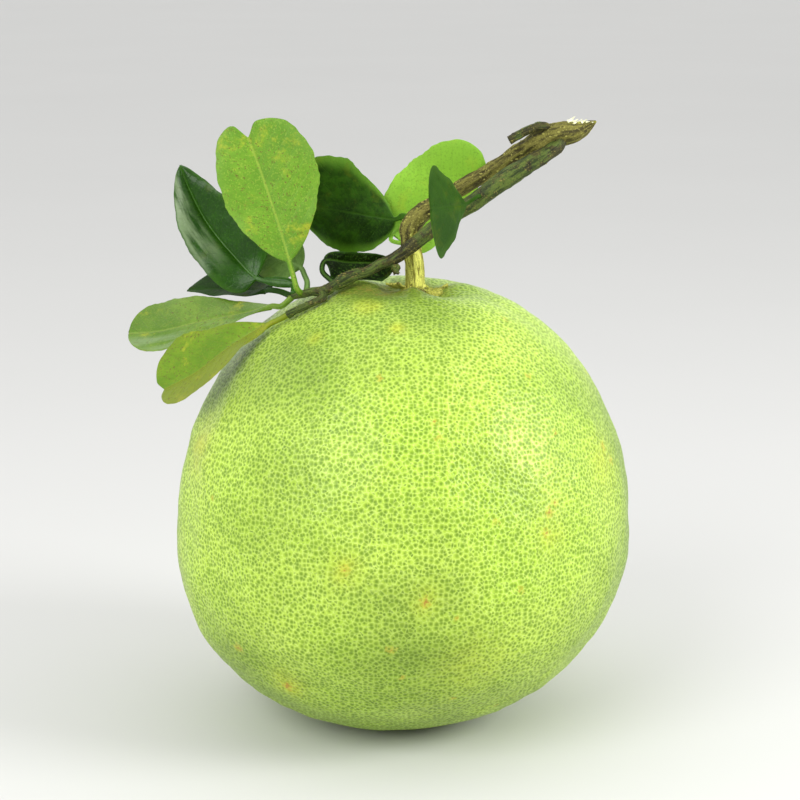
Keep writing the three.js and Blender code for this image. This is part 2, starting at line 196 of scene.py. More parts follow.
def ease(tree, value, low, high, start=0.0, end=1.0):
    """Turns low..high smoothly into start..end, and holds it there on both sides."""
    inputs = {"Value": value, "From Min": low, "From Max": high, "To Min": start, "To Max": end}
    return put(tree, "ShaderNodeMapRange", inputs, interpolation_type="SMOOTHSTEP").outputs[0]


def tinted(tree, amount, first, second):
    """first where amount is 0, second where it is 1."""
    inputs = {0: amount, 6: first, 7: second}
    return put(tree, "ShaderNodeMix", inputs, data_type="RGBA").outputs[2]


def mottle(tree, place, scale, detail=3.0, roughness=0.55):
    inputs = {"Vector": place, "Scale": scale, "Detail": detail, "Roughness": roughness}
    return put(tree, "ShaderNodeTexNoise", inputs).outputs["Fac"]


def kept(tree, name):
    """What mark_points kept under this name."""
    return put(tree, "ShaderNodeAttribute", attribute_name=name)


def new_finish(name, roughness, specular=0.5):
    finish = bpy.data.materials.new(name)
    finish.use_nodes = True
    shader = finish.node_tree.nodes["Principled BSDF"]
    shader.inputs["Roughness"].default_value = roughness
    shader.inputs["Specular IOR Level"].default_value = specular
    return finish, finish.node_tree, shader


def raised(tree, shader, height, distance, strength=1.0):
    """Presses a pattern into a finish: height runs from 0 to 1, distance is its real rise in metres."""
    inputs = {"Height": height, "Distance": distance, "Strength": strength}
    bump = put(tree, "ShaderNodeBump", inputs)
    tree.links.new(bump.outputs[0], shader.inputs["Normal"])


gland_spacing = 1.64
gland_small = 0.36
gland_large = 0.74
gland_disorder = 0.80
pore_spacing = 1.15
pore_small = 0.10
pore_large = 0.30

rind_finish, tree, shader = new_finish("gland_dotted_rind", 0.42, 0.36)
place = put(tree, "ShaderNodeTexCoord").outputs["Object"]
outward = put(tree, "ShaderNodeNewGeometry").outputs["Normal"]


def gland_dots(spacing, small, large, soft):
    """Round spots over the skin, 1 at their middles, each with its own size, in metres."""
    cells = put(tree, "ShaderNodeTexVoronoi", {
        "Vector": place, "Scale": 1 / spacing, "Randomness": gland_disorder})
    across = vector_calc(tree, "SUBTRACT", place, cells.outputs["Position"]).outputs[0]
    depth = vector_calc(tree, "DOT_PRODUCT", across, outward).outputs["Value"]
    inward = put(tree, "ShaderNodeVectorMath", {0: outward, "Scale": depth}, operation="SCALE").outputs[0]
    flat = vector_calc(tree, "SUBTRACT", across, inward).outputs[0]
    distance = vector_calc(tree, "LENGTH", flat).outputs["Value"]
    chance = put(tree, "ShaderNodeSeparateColor", {0: cells.outputs["Color"]})
    size = put(tree, "ShaderNodeMapRange", {
        "Value": chance.outputs[0], "To Min": small, "To Max": large}).outputs[0]
    inner = calc(tree, "MULTIPLY", size, 1 - soft)
    outer = calc(tree, "MULTIPLY", size, 1 + soft)
    return ease(tree, distance, inner, outer, 1.0, 0.0), chance.outputs[1]


glands, gland_depth = gland_dots(gland_spacing * MM, gland_small * MM, gland_large * MM, 0.8)
cell_walls = put(tree, "ShaderNodeTexVoronoi", {
    "Vector": place, "Scale": 1 / (gland_spacing * MM), "Randomness": gland_disorder},
    feature="DISTANCE_TO_EDGE").outputs["Distance"]
pores, pore_depth = gland_dots(pore_spacing * MM, pore_small * MM, pore_large * MM, 0.6)
broad = mottle(tree, place, 22.0, 3.0)
cloudy = mottle(tree, place, 75.0, 4.0)
fine = mottle(tree, place, 1300.0, 3.0)
tone_and_painted_shade = kept(tree, "tone_and_painted_shade").outputs["Fac"]
yellowing = kept(tree, "yellowing").outputs["Fac"]
crown_scurf_and_painted_shade = kept(tree, "crown_scurf_and_painted_shade").outputs["Fac"]
speck_distance = kept(tree, "speck_distance").outputs["Fac"]

net = tinted(tree, ease(tree, broad, 0.36, 0.64), paint(170, 205, 62), paint(180, 209, 74))
net = tinted(tree, ease(tree, cloudy, 0.5, 0.78, 0.0, 0.4), net, paint(162, 200, 54))
pale_net = ease(tree, cell_walls, 0.02, 0.17, 1.0, 0.0)
pale_net = calc(tree, "MULTIPLY", pale_net, ease(tree, fine, 0.35, 0.6, 0.2, 0.7))
net = tinted(tree, pale_net, net, paint(208, 234, 118))
# Darker rind where it is marked: partly its own tone, partly painted shade.
net = tinted(tree, tone_and_painted_shade, net, tinted(tree, pale_net, paint(104, 136, 34), paint(140, 168, 70)))
net = tinted(tree, yellowing, net, paint(200, 206, 50))
dot = tinted(tree, ease(tree, cloudy, 0.3, 0.7), paint(108, 142, 28), paint(98, 134, 22))
dot = tinted(tree, tone_and_painted_shade, dot, paint(82, 108, 22))
dot = tinted(tree, yellowing, dot, paint(164, 166, 30))
gland_strength = calc(tree, "MULTIPLY", glands, ease(tree, gland_depth, 0.0, 0.8, 0.7, 1.0))
pore_strength = calc(tree, "MULTIPLY", pores, ease(tree, pore_depth, 0.2, 1.0, 0.0, 0.55))
dotted = calc(tree, "MULTIPLY", calc(tree, "MAXIMUM", gland_strength, pore_strength), 0.9)
skin_colour = tinted(tree, dotted, net, dot)
# Olive-brown at the crown: real scurf, and left of the stalk also painted shade.
scurf_and_shade_colour = tinted(tree, ease(tree, fine, 0.4, 0.6), paint(92, 112, 30), paint(132, 122, 46))
skin_colour = tinted(tree, crown_scurf_and_painted_shade, skin_colour, scurf_and_shade_colour)
speck_edge = calc(tree, "ADD", speck_distance, ease(tree, mottle(tree, place, 900.0), 0.3, 0.7, -0.9, 0.9))
speck_halo = ease(tree, speck_edge, 0.2, 1.3, 0.55, 0.0)
speck_heart = ease(tree, speck_edge, -0.9, 0.1, 0.75, 0.0)
skin_colour = tinted(tree, speck_halo, skin_colour, paint(196, 186, 62))
skin_colour = tinted(tree, speck_heart, skin_colour, paint(160, 112, 44))
tree.links.new(skin_colour, shader.inputs["Base Color"])
gloss = calc(tree, "ADD", calc(tree, "MULTIPLY", dotted, 0.10), 0.37)
tree.links.new(calc(tree, "ADD", gloss, calc(tree, "MULTIPLY", crown_scurf_and_painted_shade, 0.3)), shader.inputs["Roughness"])
relief = calc(tree, "SUBTRACT", calc(tree, "MULTIPLY", fine, 0.35), dotted)
raised(tree, shader, relief, 0.2 * MM, 0.85)

places, rind_faces, unwrapped = cube_round(rind_fineness)
down = np.arccos(np.clip(places[:, 2], -1, 1))
around = np.arctan2(places[:, 1], places[:, 0])
reach = rind_radius(down)
out = reach * np.sin(down)
high = np.maximum(0, widest_height + reach * np.cos(down))
lean = belly_lean * np.minimum(1, high / widest_height)
rind = np.stack([lean + out * np.cos(around), out * np.sin(around), high], -1)
upper = high > widest_height
rind[upper, 2] += crown_relief(rind[upper, 0], rind[upper, 1])

# Slow lumps all over, finer wrinkles and one crease on the crown, and a dimple under the fruit.
clear_of_floor = np.clip(high / 12, 0, 1)
lumps = lump_rise * swells(rind, 24, 3) + small_lump_rise * swells(rind, 8, 4)
rind += places * (clear_of_floor * lumps)[:, None]
from_stalk = np.hypot(rind[:, 0] - stalk_x, rind[:, 1])
stalk_bearing = np.arctan2(rind[:, 1], rind[:, 0] - stalk_x)
crown = np.where(upper, np.exp(-((from_stalk - 13) / 8) ** 2), 0)
wrinkles = np.sin(11 * stalk_bearing + 1.3 * swells(rind, 18, 5))
rind[:, 2] += crown * (0.22 * wrinkles + 0.12 * swells(rind, 5, 6))
beside = from_stalk * np.sin(stalk_bearing - crease_bearing)
ahead = from_stalk * np.cos(stalk_bearing - crease_bearing)
crease = np.exp(-(beside / 1.3) ** 2) * np.exp(-((ahead - 11) / 5) ** 2)
rind[:, 2] -= np.where(upper, crease_depth * crease, 0)
under_reach = np.hypot(rind[:, 0], rind[:, 1])
rind[:, 2] += np.where(upper, 0, dimple_depth * np.exp(-(under_reach / 5) ** 2))

fruit = solid_from("pomelo_fruit", rind, rind_faces, rind_finish)
layout = fruit.data.uv_layers.new(name="OFBake")
layout.data.foreach_set("uv", unwrapped.astype(np.float32).ravel())


def on_rind(bearing, height):
    """The place on the rind at a bearing in degrees to the right of the front, and a height."""
    flat_way = np.array([math.sin(math.radians(bearing)), -math.cos(math.radians(bearing))])
    level = np.abs(rind[:, 2] - height) < 3
    ways = rind[:, :2] - core[:2]
    facing = ways @ flat_way / np.maximum(1, np.linalg.norm(ways, axis=1))
    return rind[np.argmax(np.where(level, facing, -2))]


def patch(bearing, height, size):
    """1 at a place on the rind, fading out over `size` millimetres."""
    distance = np.linalg.norm(rind - on_rind(bearing, height), axis=1)
    return np.exp(-(distance / size) ** 2)


# Marks on the skin, each with a bearing, a height, a size and a strength.
chance = np.random.default_rng(11)
# Darker patches: the rind's own uneven tone, and painted shade at both limbs, round the crown and low on the
# flank.
tone_and_painted_shading = 0.13 * swells(rind, 60, 7) + 0.08 * swells(rind, 22, 8)
for bearing, height, size, depth in [
        (-4, 34, 18, 0.35), (-48, 36, 24, 0.3), (-32, 62, 16, 0.08), (44, 128, 16, 0.15),
        (60, 60, 20, 0.22), (-62, 128, 18, 0.35), (120, 90, 26, 0.2), (200, 60, 30, 0.3),
        (250, 120, 26, 0.2), (-110, 84, 22, 0.3), (-38, 142, 20, 0.85), (-30, 156, 12, 1.0),
        (8, 55, 22, 0.55), (92, 66, 34, 0.8), (84, 110, 26, 0.4), (20, 150, 16, 0.5),
        (-85, 60, 26, 0.4), (-50, 30, 22, 0.25), (50, 30, 20, 0.2)]:
    tone_and_painted_shading += depth * patch(bearing, height, size)
# Painted shade in the crown's hollow round the stalk.
tone_and_painted_shading += np.where(upper, 0.85 * np.exp(-((from_stalk / 22) ** 2)), 0)
# Painted shade low on the flank, darker towards the floor.
low_flank = np.clip((34 - rind[:, 2]) / 34, 0, 1)
tone_and_painted_shading += 0.45 * low_flank * (0.7 + 0.3 * swells(rind, 16, 9))
mark_points(fruit, "tone_and_painted_shade", np.clip(tone_and_painted_shading, 0, 1))

yellow = np.zeros(len(rind))
for bearing, height, size, depth in [
        (-24, 151, 4.5, 0.75), (-70, 105, 9, 0.7), (-3, 149, 2.8, 0.6), (-14, 77, 5, 0.55),
        (-39, 144, 3, 0.5), (38, 86, 6, 0.35), (5, 66, 5, 0.35), (-34, 32, 6, 0.5),
        (64, 104, 9, 0.4), (18, 40, 12, 0.25)]:
    yellow += depth * patch(bearing, height, size)
for _ in range(16):
    yellow += 0.55 * patch(chance.uniform(85, 275), chance.uniform(25, 140), chance.uniform(3, 9))
mark_points(fruit, "yellowing", np.clip(yellow, 0, 1) * (0.75 + 0.25 * np.clip(swells(rind, 7, 12), -1, 1)))

# Russet specks, each with a bearing, a height and a size.
specks = [
    (38, 89, 0.9), (5, 65, 1.0), (-3, 51, 0.8), (-34, 30, 1.4), (-47, 38, 1.0), (45, 131, 0.5),
    (66, 108, 0.8), (40, 92, 0.4), (36, 84, 0.5), (69, 100, 0.6), (-14, 78, 0.8), (28, 70, 0.4)]
for _ in range(22):
    specks.append((chance.uniform(0, 360), chance.uniform(16, 146), chance.uniform(0.0, 0.5)))
for _ in range(34):
    specks.append((chance.uniform(80, 280), chance.uniform(16, 146), chance.uniform(0.4, 1.5)))
nearest = np.full(len(rind), 9.0)
for bearing, height, size in specks:
    nearest = np.minimum(nearest, np.linalg.norm(rind - on_rind(bearing, height), axis=1) - size)
scar = under_reach - 4.5
nearest = np.where(rind[:, 2] < 4, np.minimum(nearest, scar), nearest)
mark_points(fruit, "speck_distance", nearest)

# Left of the stalk: scurf with painted shade in the crown's valley; round the stalk: scurf.
left_of_stalk = np.exp(-(((rind[:, 0] - stalk_x + 15) / 14) ** 2 + ((rind[:, 1] + 11) / 8) ** 2))
round_stalk = np.exp(-((from_stalk - 9) / 4.5) ** 2)
scurf_and_painted_shade = np.where(upper, 0.95 * left_of_stalk * (0.75 + 0.35 * swells(rind, 6, 13)) + 0.6 * round_stalk, 0)
mark_points(fruit, "crown_scurf_and_painted_shade", np.clip(scurf_and_painted_shade, 0, 0.85))

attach(fruit, "root")
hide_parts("fruit")


# ---------------------------------------------------------------------------
# The calyx: the dry, corky button that the flower left round the stalk. It
# grew onto the crown, has split into blunt sepals, and one flap stands open.
calyx_width = 17
calyx_thickness = 2.3
sepal_count = 5
calyx_sides = 160
calyx_rings = 26
seat = np.array([stalk_x, 0, float(rind_height(stalk_x, 0))])

cork_finish, tree, shader = new_finish("dry_calyx_cork", 0.8, 0.3)
place = put(tree, "ShaderNodeTexCoord").outputs["Object"]
coarse = mottle(tree, place, 320.0, 5.0, 0.7)
grit = mottle(tree, place, 1500.0, 3.0, 0.6)
cork = tinted(tree, ease(tree, coarse, 0.36, 0.62), paint(110, 114, 36), paint(186, 188, 80))
cork = tinted(tree, ease(tree, grit, 0.52, 0.70), cork, paint(222, 212, 116))
cork = tinted(tree, ease(tree, coarse, 0.34, 0.44, 0.9, 0.0), cork, paint(60, 48, 18))
tree.links.new(cork, shader.inputs["Base Color"])
raised(tree, shader, calc(tree, "ADD", coarse, calc(tree, "MULTIPLY", grit, 0.5)), 0.5 * MM)


def crust_sheet(name, around_values, inner, outer_at, top_at, under_at, finish, closed):
    """A crusty plate over the crown, from an inner to an outer edge, closed under and at its rims."""
    shares = np.linspace(0, 1, calyx_rings)
    loops = []
    for angle in around_values:
        outer = outer_at(angle)
        reaches = inner + (outer - inner) * shares
        x = seat[0] + reaches * math.cos(angle)
        y = reaches * math.sin(angle)
        tops = np.stack([x, y, rind_height(x, y) + top_at(angle, shares, x, y)], -1)
        unders = np.stack([x, y, rind_height(x, y) + under_at(angle, shares)], -1)
        loops.append(np.concatenate([unders, tops[::-1]]))
    loops = np.array(loops)
    size = loops.shape[1]
    faces = []
    for k in range(len(loops) if closed else len(loops) - 1):
        following = (k + 1) % len(loops)
        for s in range(size):
            ahead_s = (s + 1) % size
            faces.append((k * size + s, following * size + s, following * size + ahead_s, k * size + ahead_s))
    if not closed:
        last = (len(loops) - 1) * size
        for s in range(size // 2 - 1):
            other = size - 1 - s
            faces.append((s, s + 1, other - 1, other))
            faces.append((last + s, last + other, last + other - 1, last + s + 1))
    return solid_from(name, loops.reshape(-1, 3), faces, finish)


sepal_chance = np.random.default_rng(21)
sepal_reach = sepal_chance.uniform(0.86, 1.12, sepal_count)
sepal_curl = sepal_chance.uniform(0.2, 1.1, sepal_count)


def sepal_edge(angle):
    turn = angle / (2 * math.pi) * sepal_count + 0.2
    which = int(math.floor(turn)) % sepal_count
    across_sepal = abs(turn - math.floor(turn) - 0.5) * 2
    ragged = 0.35 * math.sin(23 * angle) + 0.25 * math.sin(41 * angle + 1) + 0.2 * math.sin(67 * angle)
    lopsided = 0.92 + 0.36 * math.cos(angle)
    reach = calyx_width / 2 * sepal_reach[which] * (1 - 0.22 * across_sepal ** 3) * lopsided + ragged
    return reach, which, across_sepal


def calyx_top(angle, shares, x, y):
    _, which, across_sepal = sepal_edge(angle)
    body = calyx_thickness * (0.7 + 0.3 * np.cos(shares * 5)) * (1 - 0.7 * shares ** 2)
    curl = 0.3 * sepal_curl[which] * (1 - across_sepal ** 2) * shares ** 4
    points = np.stack([x, y, 0 * x], -1)
    crust = 0.36 * swells(points, 2.4, 22) + 0.2 * swells(points, 1.1, 23)
    split = 0.9 * across_sepal ** 14 * shares
    return np.maximum(0.12, body + curl + crust - split)


calyx_angles = np.linspace(0, 2 * math.pi, calyx_sides, endpoint=False)
calyx = crust_sheet(
    "calyx_button", calyx_angles, 1.8, lambda angle: sepal_edge(angle)[0], calyx_top,
    lambda angle, shares: -0.9 + 0.5 * shares, cork_finish, True)

flap_start = 203
flap_end = 236
flap_angles = np.radians(np.linspace(flap_start, flap_end, 28))


def flap_top(angle, shares, x, y):
    points = np.stack([x, y, 0 * x], -1)
    return 1.8 + 1.6 * shares ** 1.5 + 0.14 * swells(points, 1.6, 24)


def flap_edge(angle):
    share = (math.degrees(angle) - flap_start) / (flap_end - flap_start)
    return 12.0 - 4.0 * abs(share - 0.4) ** 1.5 + 0.3 * math.sin(31 * angle)


flap = crust_sheet(
    "lifted_sepal", flap_angles, 6.0, flap_edge, flap_top,
    lambda angle, shares: 1.2 + 1.6 * shares ** 1.5, cork_finish, False)
for piece in (calyx, flap):
    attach(piece, "root")
    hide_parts("calyx")


# ---------------------------------------------------------------------------
# The stalk: the wood that the fruit hung from. It rises ribbed and green from
# the calyx, swells at a knot, and leans away as a barked branch to the end
# where it was torn from the tree.
stalk_width = 7.0
line_samples = 16


def smooth_line(points, samples=line_samples):
    """An even-tempered curve through all the points, with so many samples between each pair."""
    points = np.asarray(points, dtype=float)
    padded = np.concatenate([[2 * points[0] - points[1]], points, [2 * points[-1] - points[-2]]])
    line = []
    for i in range(1, len(padded) - 2):
        a, b, c, d = padded[i - 1:i + 3]
        before, between, after = (
            max(1e-4, math.sqrt(np.linalg.norm(q - p))) for p, q in ((a, b), (b, c), (c, d)))
        leave = ((b - a) / before - (c - a) / (before + between) + (c - b) / between) * between
        arrive = ((c - b) / between - (d - b) / (between + after) + (d - c) / after) * between
        t = np.linspace(0, 1, samples, endpoint=False)[:, None]
        line.append((2 * t ** 3 - 3 * t ** 2 + 1) * b + (t ** 3 - 2 * t ** 2 + t) * leave
                    + (3 * t ** 2 - 2 * t ** 3) * c + (t ** 3 - t ** 2) * arrive)
    line.append(points[-1:])
    return np.concatenate(line)


def clear_of_rind(point, gap):
    """Moves a point straight out from the core until it stands `gap` off the rind."""
    away = np.asarray(point, dtype=float) - core
    length = np.linalg.norm(away)
    down = math.acos(away[2] / length)
    relief = crown_relief(point[0], point[1]) * math.cos(down) if away[2] > 0 else 0
    least = float(rind_radius(np.array(down))) + relief + gap
    return core + away * max(1, least / length)


def twig_line(rows, width, parent=None):
    """A twig's smooth middle line, thickness, age and crust, from rows of
    [x, y, z from the seat, share of the width, age from green 0 to barked 1, crust]."""
    rows = np.array(rows, dtype=float)
    points = rows[:, :3] + seat
    if parent is not None:
        points = np.array([clear_of_rind(p, s * width / 2 + 0.5) for p, s in zip(points, rows[:, 3])])
        root = parent[0][np.argmin(np.linalg.norm(parent[0] - points[0], axis=1))]
        points = np.concatenate([[root], points])
        rows = np.concatenate([rows[:1], rows])
    line = smooth_line(points)
    steps = np.linspace(0, len(rows) - 1, len(line))
    extras = [np.interp(steps, np.arange(len(rows)), rows[:, k]) for k in (3, 4, 5)]
    return line, extras[0] * width / 2, extras[1], extras[2]


def named_number(tree, name):
    """The number that mark_points kept under this name, for Geometry Nodes to read."""
    node = put(tree, "GeometryNodeInputNamedAttribute", {"Name": name}, data_type="FLOAT")
    return node.outputs["Attribute"]


def twig_maker():
    """Geometry Nodes that grow bark along a line: a ribbed, lumpy tube with small warts."""
    tree = bpy.data.node_groups.new("grow_twig", "GeometryNodeTree")
    tree.interface.new_socket("Geometry", in_out="OUTPUT", socket_type="NodeSocketGeometry")
    tree.interface.new_socket("Geometry", in_out="INPUT", socket_type="NodeSocketGeometry")
    for label, kind in [("Sides", "Int"), ("Step", "Float"), ("Lump Height", "Float"), ("Lump Size", "Float"),
                        ("Rib Height", "Float"), ("Rib Count", "Float"), ("Wart Size", "Float"),
                        ("Warts", "Float"), ("Seed", "Int"), ("Bark", "Material")]:
        tree.interface.new_socket(label, in_out="INPUT", socket_type="NodeSocket" + kind)
    given = tree.nodes.new("NodeGroupInput").outputs

    def store(geometry, name, value, kind="FLOAT"):
        inputs = {"Geometry": geometry, "Name": name, "Value": value}
        return put(tree, "GeometryNodeStoreNamedAttribute", inputs, data_type=kind).outputs[0]

    middle = put(tree, "GeometryNodeMeshToCurve", {"Mesh": given["Geometry"]}).outputs[0]
    middle = put(tree, "GeometryNodeResampleCurve", {
        "Curve": middle, "Length": given["Step"]}, mode="LENGTH").outputs[0]
    spline = put(tree, "GeometryNodeSplineParameter").outputs
    middle = store(middle, "along", spline["Length"])
    ring = put(tree, "GeometryNodeCurvePrimitiveCircle", {
        "Resolution": given["Sides"], "Radius": 1.0}).outputs[0]
    ring = store(ring, "around", spline["Factor"])
    tube = put(tree, "GeometryNodeCurveToMesh", {
        "Curve": middle, "Profile Curve": ring, "Scale": named_number(tree, "thickness"),
        "Fill Caps": True}).outputs[0]
    turn = calc(tree, "MULTIPLY", named_number(tree, "around"), 2 * math.pi)
    grain = put(tree, "ShaderNodeCombineXYZ", {
        "X": calc(tree, "MULTIPLY", calc(tree, "COSINE", turn), 0.003),
        "Y": calc(tree, "MULTIPLY", calc(tree, "SINE", turn), 0.003),
        "Z": named_number(tree, "along")}).outputs[0]
    tube = store(tube, "grain", grain, "FLOAT_VECTOR")
    position = put(tree, "GeometryNodeInputPosition").outputs[0]
    seed_shift = put(tree, "ShaderNodeCombineXYZ", {"X": given["Seed"]}).outputs[0]
    shifted = vector_calc(tree, "ADD", position, seed_shift).outputs[0]
    lumps = put(tree, "ShaderNodeTexNoise", {
        "Vector": shifted, "Scale": calc(tree, "DIVIDE", 1.0, given["Lump Size"]),
        "Detail": 3.0}).outputs["Fac"]
    lump_rise = calc(tree, "MULTIPLY", calc(tree, "SUBTRACT", lumps, 0.5), given["Lump Height"])
    crust_gain = calc(tree, "ADD", calc(tree, "MULTIPLY", named_number(tree, "crust"), 2.0), 1.0)
    lump_rise = calc(tree, "MULTIPLY", lump_rise, crust_gain)
    drift = calc(tree, "MULTIPLY", lumps, 5.0)
    ribs = calc(tree, "SINE", calc(tree, "ADD", calc(tree, "MULTIPLY", turn, given["Rib Count"]), drift))
    rib_rise = calc(tree, "MULTIPLY", ribs, given["Rib Height"])
    normal = put(tree, "GeometryNodeInputNormal").outputs[0]
    rise = calc(tree, "ADD", lump_rise, rib_rise)
    lift = put(tree, "ShaderNodeVectorMath", {0: normal, "Scale": rise}, operation="SCALE").outputs[0]
    tube = put(tree, "GeometryNodeSetPosition", {"Geometry": tube, "Offset": lift}).outputs[0]
    density = calc(tree, "MULTIPLY", given["Warts"], named_number(tree, "crust"))
    scatter = put(tree, "GeometryNodeDistributePointsOnFaces", {
        "Mesh": tube, "Density": density, "Seed": given["Seed"]})
    wart = put(tree, "GeometryNodeMeshIcoSphere", {
        "Radius": given["Wart Size"], "Subdivisions": 2}).outputs[0]
    wart = store(wart, "wart", 1.0)
    size = put(tree, "FunctionNodeRandomValue", {
        "Min": (0.5, 0.35, 0.25), "Max": (1.5, 0.9, 0.7), "Seed": given["Seed"]},
        data_type="FLOAT_VECTOR").outputs[0]
    warts = put(tree, "GeometryNodeInstanceOnPoints", {
        "Points": scatter.outputs["Points"], "Instance": wart,
        "Rotation": scatter.outputs["Rotation"], "Scale": size}).outputs[0]
    joined = put(tree, "GeometryNodeJoinGeometry")
    tree.links.new(warts, joined.inputs[0])
    tree.links.new(tube, joined.inputs[0])
    smooth = put(tree, "GeometryNodeSetShadeSmooth", {"Geometry": joined.outputs[0]}).outputs[0]
    real = put(tree, "GeometryNodeRealizeInstances", {"Geometry": smooth}).outputs[0]
    barked = put(tree, "GeometryNodeSetMaterial", {"Geometry": real, "Material": given["Bark"]}).outputs[0]
    tree.links.new(barked, tree.nodes.new("NodeGroupOutput").inputs[0])
    return tree


def grow(piece, tree, sizes):
    """Runs a piece's Geometry Nodes with these sizes, and keeps the result as its plain mesh."""
    grower = piece.modifiers.new("grow", "NODES")
    grower.node_group = tree
    for item in tree.interface.items_tree:
        if item.in_out == "INPUT" and item.name in sizes:
            grower[item.identifier] = sizes[item.name]
    bpy.context.view_layer.update()
    ready = piece.evaluated_get(bpy.context.evaluated_depsgraph_get())
    plain = bpy.data.meshes.new_from_object(ready, preserve_all_data_layers=True,
                                            depsgraph=bpy.context.evaluated_depsgraph_get())
    piece.modifiers.clear()
    piece.data = plain


twig_growth = twig_maker()


def grow_twig(name, twig, sizes):
    line, thickness, age, crust = twig
    mesh = bpy.data.meshes.new(name)
    mesh.from_pydata((line * MM).tolist(), [(i, i + 1) for i in range(len(line) - 1)], [])
    piece = bpy.data.objects.new(name, mesh)
    bpy.context.scene.collection.objects.link(piece)
    mark_points(piece, "thickness", thickness * MM)
    mark_points(piece, "age", age)
    mark_points(piece, "crust", crust)
    grow(piece, twig_growth, sizes)
    return piece


def bark_finish(name, young, young_dark, old, old_dark, scar, roughness):
    """Bark with fibres along the twig, greener where it is young, with pale corky warts."""
    finish, tree, shader = new_finish(name, roughness, 0.3)
    place = put(tree, "ShaderNodeTexCoord").outputs["Object"]
    grain = kept(tree, "grain").outputs["Vector"]
    stretched = vector_calc(tree, "MULTIPLY", grain, (1.0, 1.0, 0.16)).outputs[0]
    fibres = mottle(tree, stretched, 900.0, 4.0, 0.65)
    blotches = mottle(tree, place, 260.0, 4.0, 0.6)
    grit = mottle(tree, place, 1700.0, 2.0)
    age = kept(tree, "age").outputs["Fac"]
    dark = ease(tree, fibres, 0.60, 0.38)
    green = tinted(tree, dark, young, young_dark)
    brown = tinted(tree, dark, old, old_dark)
    worn = calc(tree, "ADD", age, ease(tree, blotches, 0.35, 0.65, -0.35, 0.35))
    colour = tinted(tree, ease(tree, worn, 0.3, 0.7), green, brown)
    flecks = calc(tree, "MULTIPLY", ease(tree, grit, 0.58, 0.66), ease(tree, blotches, 0.4, 0.6, 0.15, 0.75))
    colour = tinted(tree, flecks, colour, scar)
    pits = calc(tree, "MULTIPLY", ease(tree, grit, 0.40, 0.33), 0.7)
    colour = tinted(tree, pits, colour, old_dark)
    warts = kept(tree, "wart").outputs["Fac"]
    warts = calc(tree, "MULTIPLY", warts, ease(tree, blotches, 0.36, 0.5, 0.35, 0.9))
    colour = tinted(tree, warts, colour, scar)
    tree.links.new(colour, shader.inputs["Base Color"])
    height = calc(tree, "ADD", fibres, calc(tree, "MULTIPLY", grit, 0.4))
    raised(tree, shader, height, 0.45 * MM)
    return finish


stalk_bark = bark_finish(
    "stalk_bark", paint(224, 226, 108), paint(128, 124, 40), paint(120, 116, 50), paint(60, 55, 20),
    paint(166, 162, 82), 0.75)

stalk_line = twig_line([
    [0, 0, -1.5, 1.12, 0, 0.5], [0, 0, 2.5, 1.0, 0, 0.2], [0, 0, 5, 0.96, 0, 0.1],
    [-0.5, 0, 10.5, 0.92, 0.1, 0.15],
    [-1.4, 0, 15.5, 0.94, 0.35, 0.5], [-1.9, 0, 20.2, 1.08, 0.75, 0.9], [-0.4, 0.5, 24.4, 1.06, 0.9, 1.0],
    [3, 1.5, 27.6, 0.94, 1, 0.7], [8.6, 2, 31, 0.82, 1, 0.4], [16, 2.5, 35.8, 0.76, 1, 0.3],
    [24.5, 3, 40.7, 0.76, 1, 0.3], [31, 3, 44.8, 0.78, 1, 0.4], [37.5, 2, 49, 0.86, 1, 0.7],
    [44, 0, 53, 1.04, 1, 1.0], [49, -1, 54.8, 1.2, 1, 1.0], [53.5, -1.8, 55.6, 1.14, 0.95, 0.7],
    [56.8, -2, 56.6, 0.86, 0.9, 0.4], [59.6, -2, 58, 0.46, 0.85, 0.2], [62.2, -2, 59.5, 0.06, 0.8, 0],
], stalk_width)
stalk = grow_twig("fruit_stalk_and_branch", stalk_line, {
    "Sides": 48, "Step": 0.55 * MM, "Lump Height": 1.0 * MM, "Lump Size": 5.5 * MM, "Rib Height": 0.13 * MM,
    "Rib Count": 9.0, "Wart Size": 0.45 * MM, "Warts": 80000.0, "Seed": 3, "Bark": stalk_bark})
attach(stalk, "root")
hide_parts("fruit_stalk")


# ---------------------------------------------------------------------------
# The torn end of the branch: pale new wood that pulled apart into splinters
# when the fruit was torn off. The splinters are still part of the branch.
splinter_count = 46
longest_splinter = 3.0
splinter_width = 0.5

wood_finish, tree, shader = new_finish("torn_wood", 0.7, 0.3)
place = put(tree, "ShaderNodeTexCoord").outputs["Object"]
streaks = mottle(tree, place, 900.0, 3.0)
pale = tinted(tree, ease(tree, streaks, 0.35, 0.65), paint(226, 230, 168), paint(250, 250, 228))
pale = tinted(tree, ease(tree, streaks, 0.36, 0.28), pale, paint(150, 140, 78))
tree.links.new(pale, shader.inputs["Base Color"])
raised(tree, shader, streaks, 0.25 * MM)


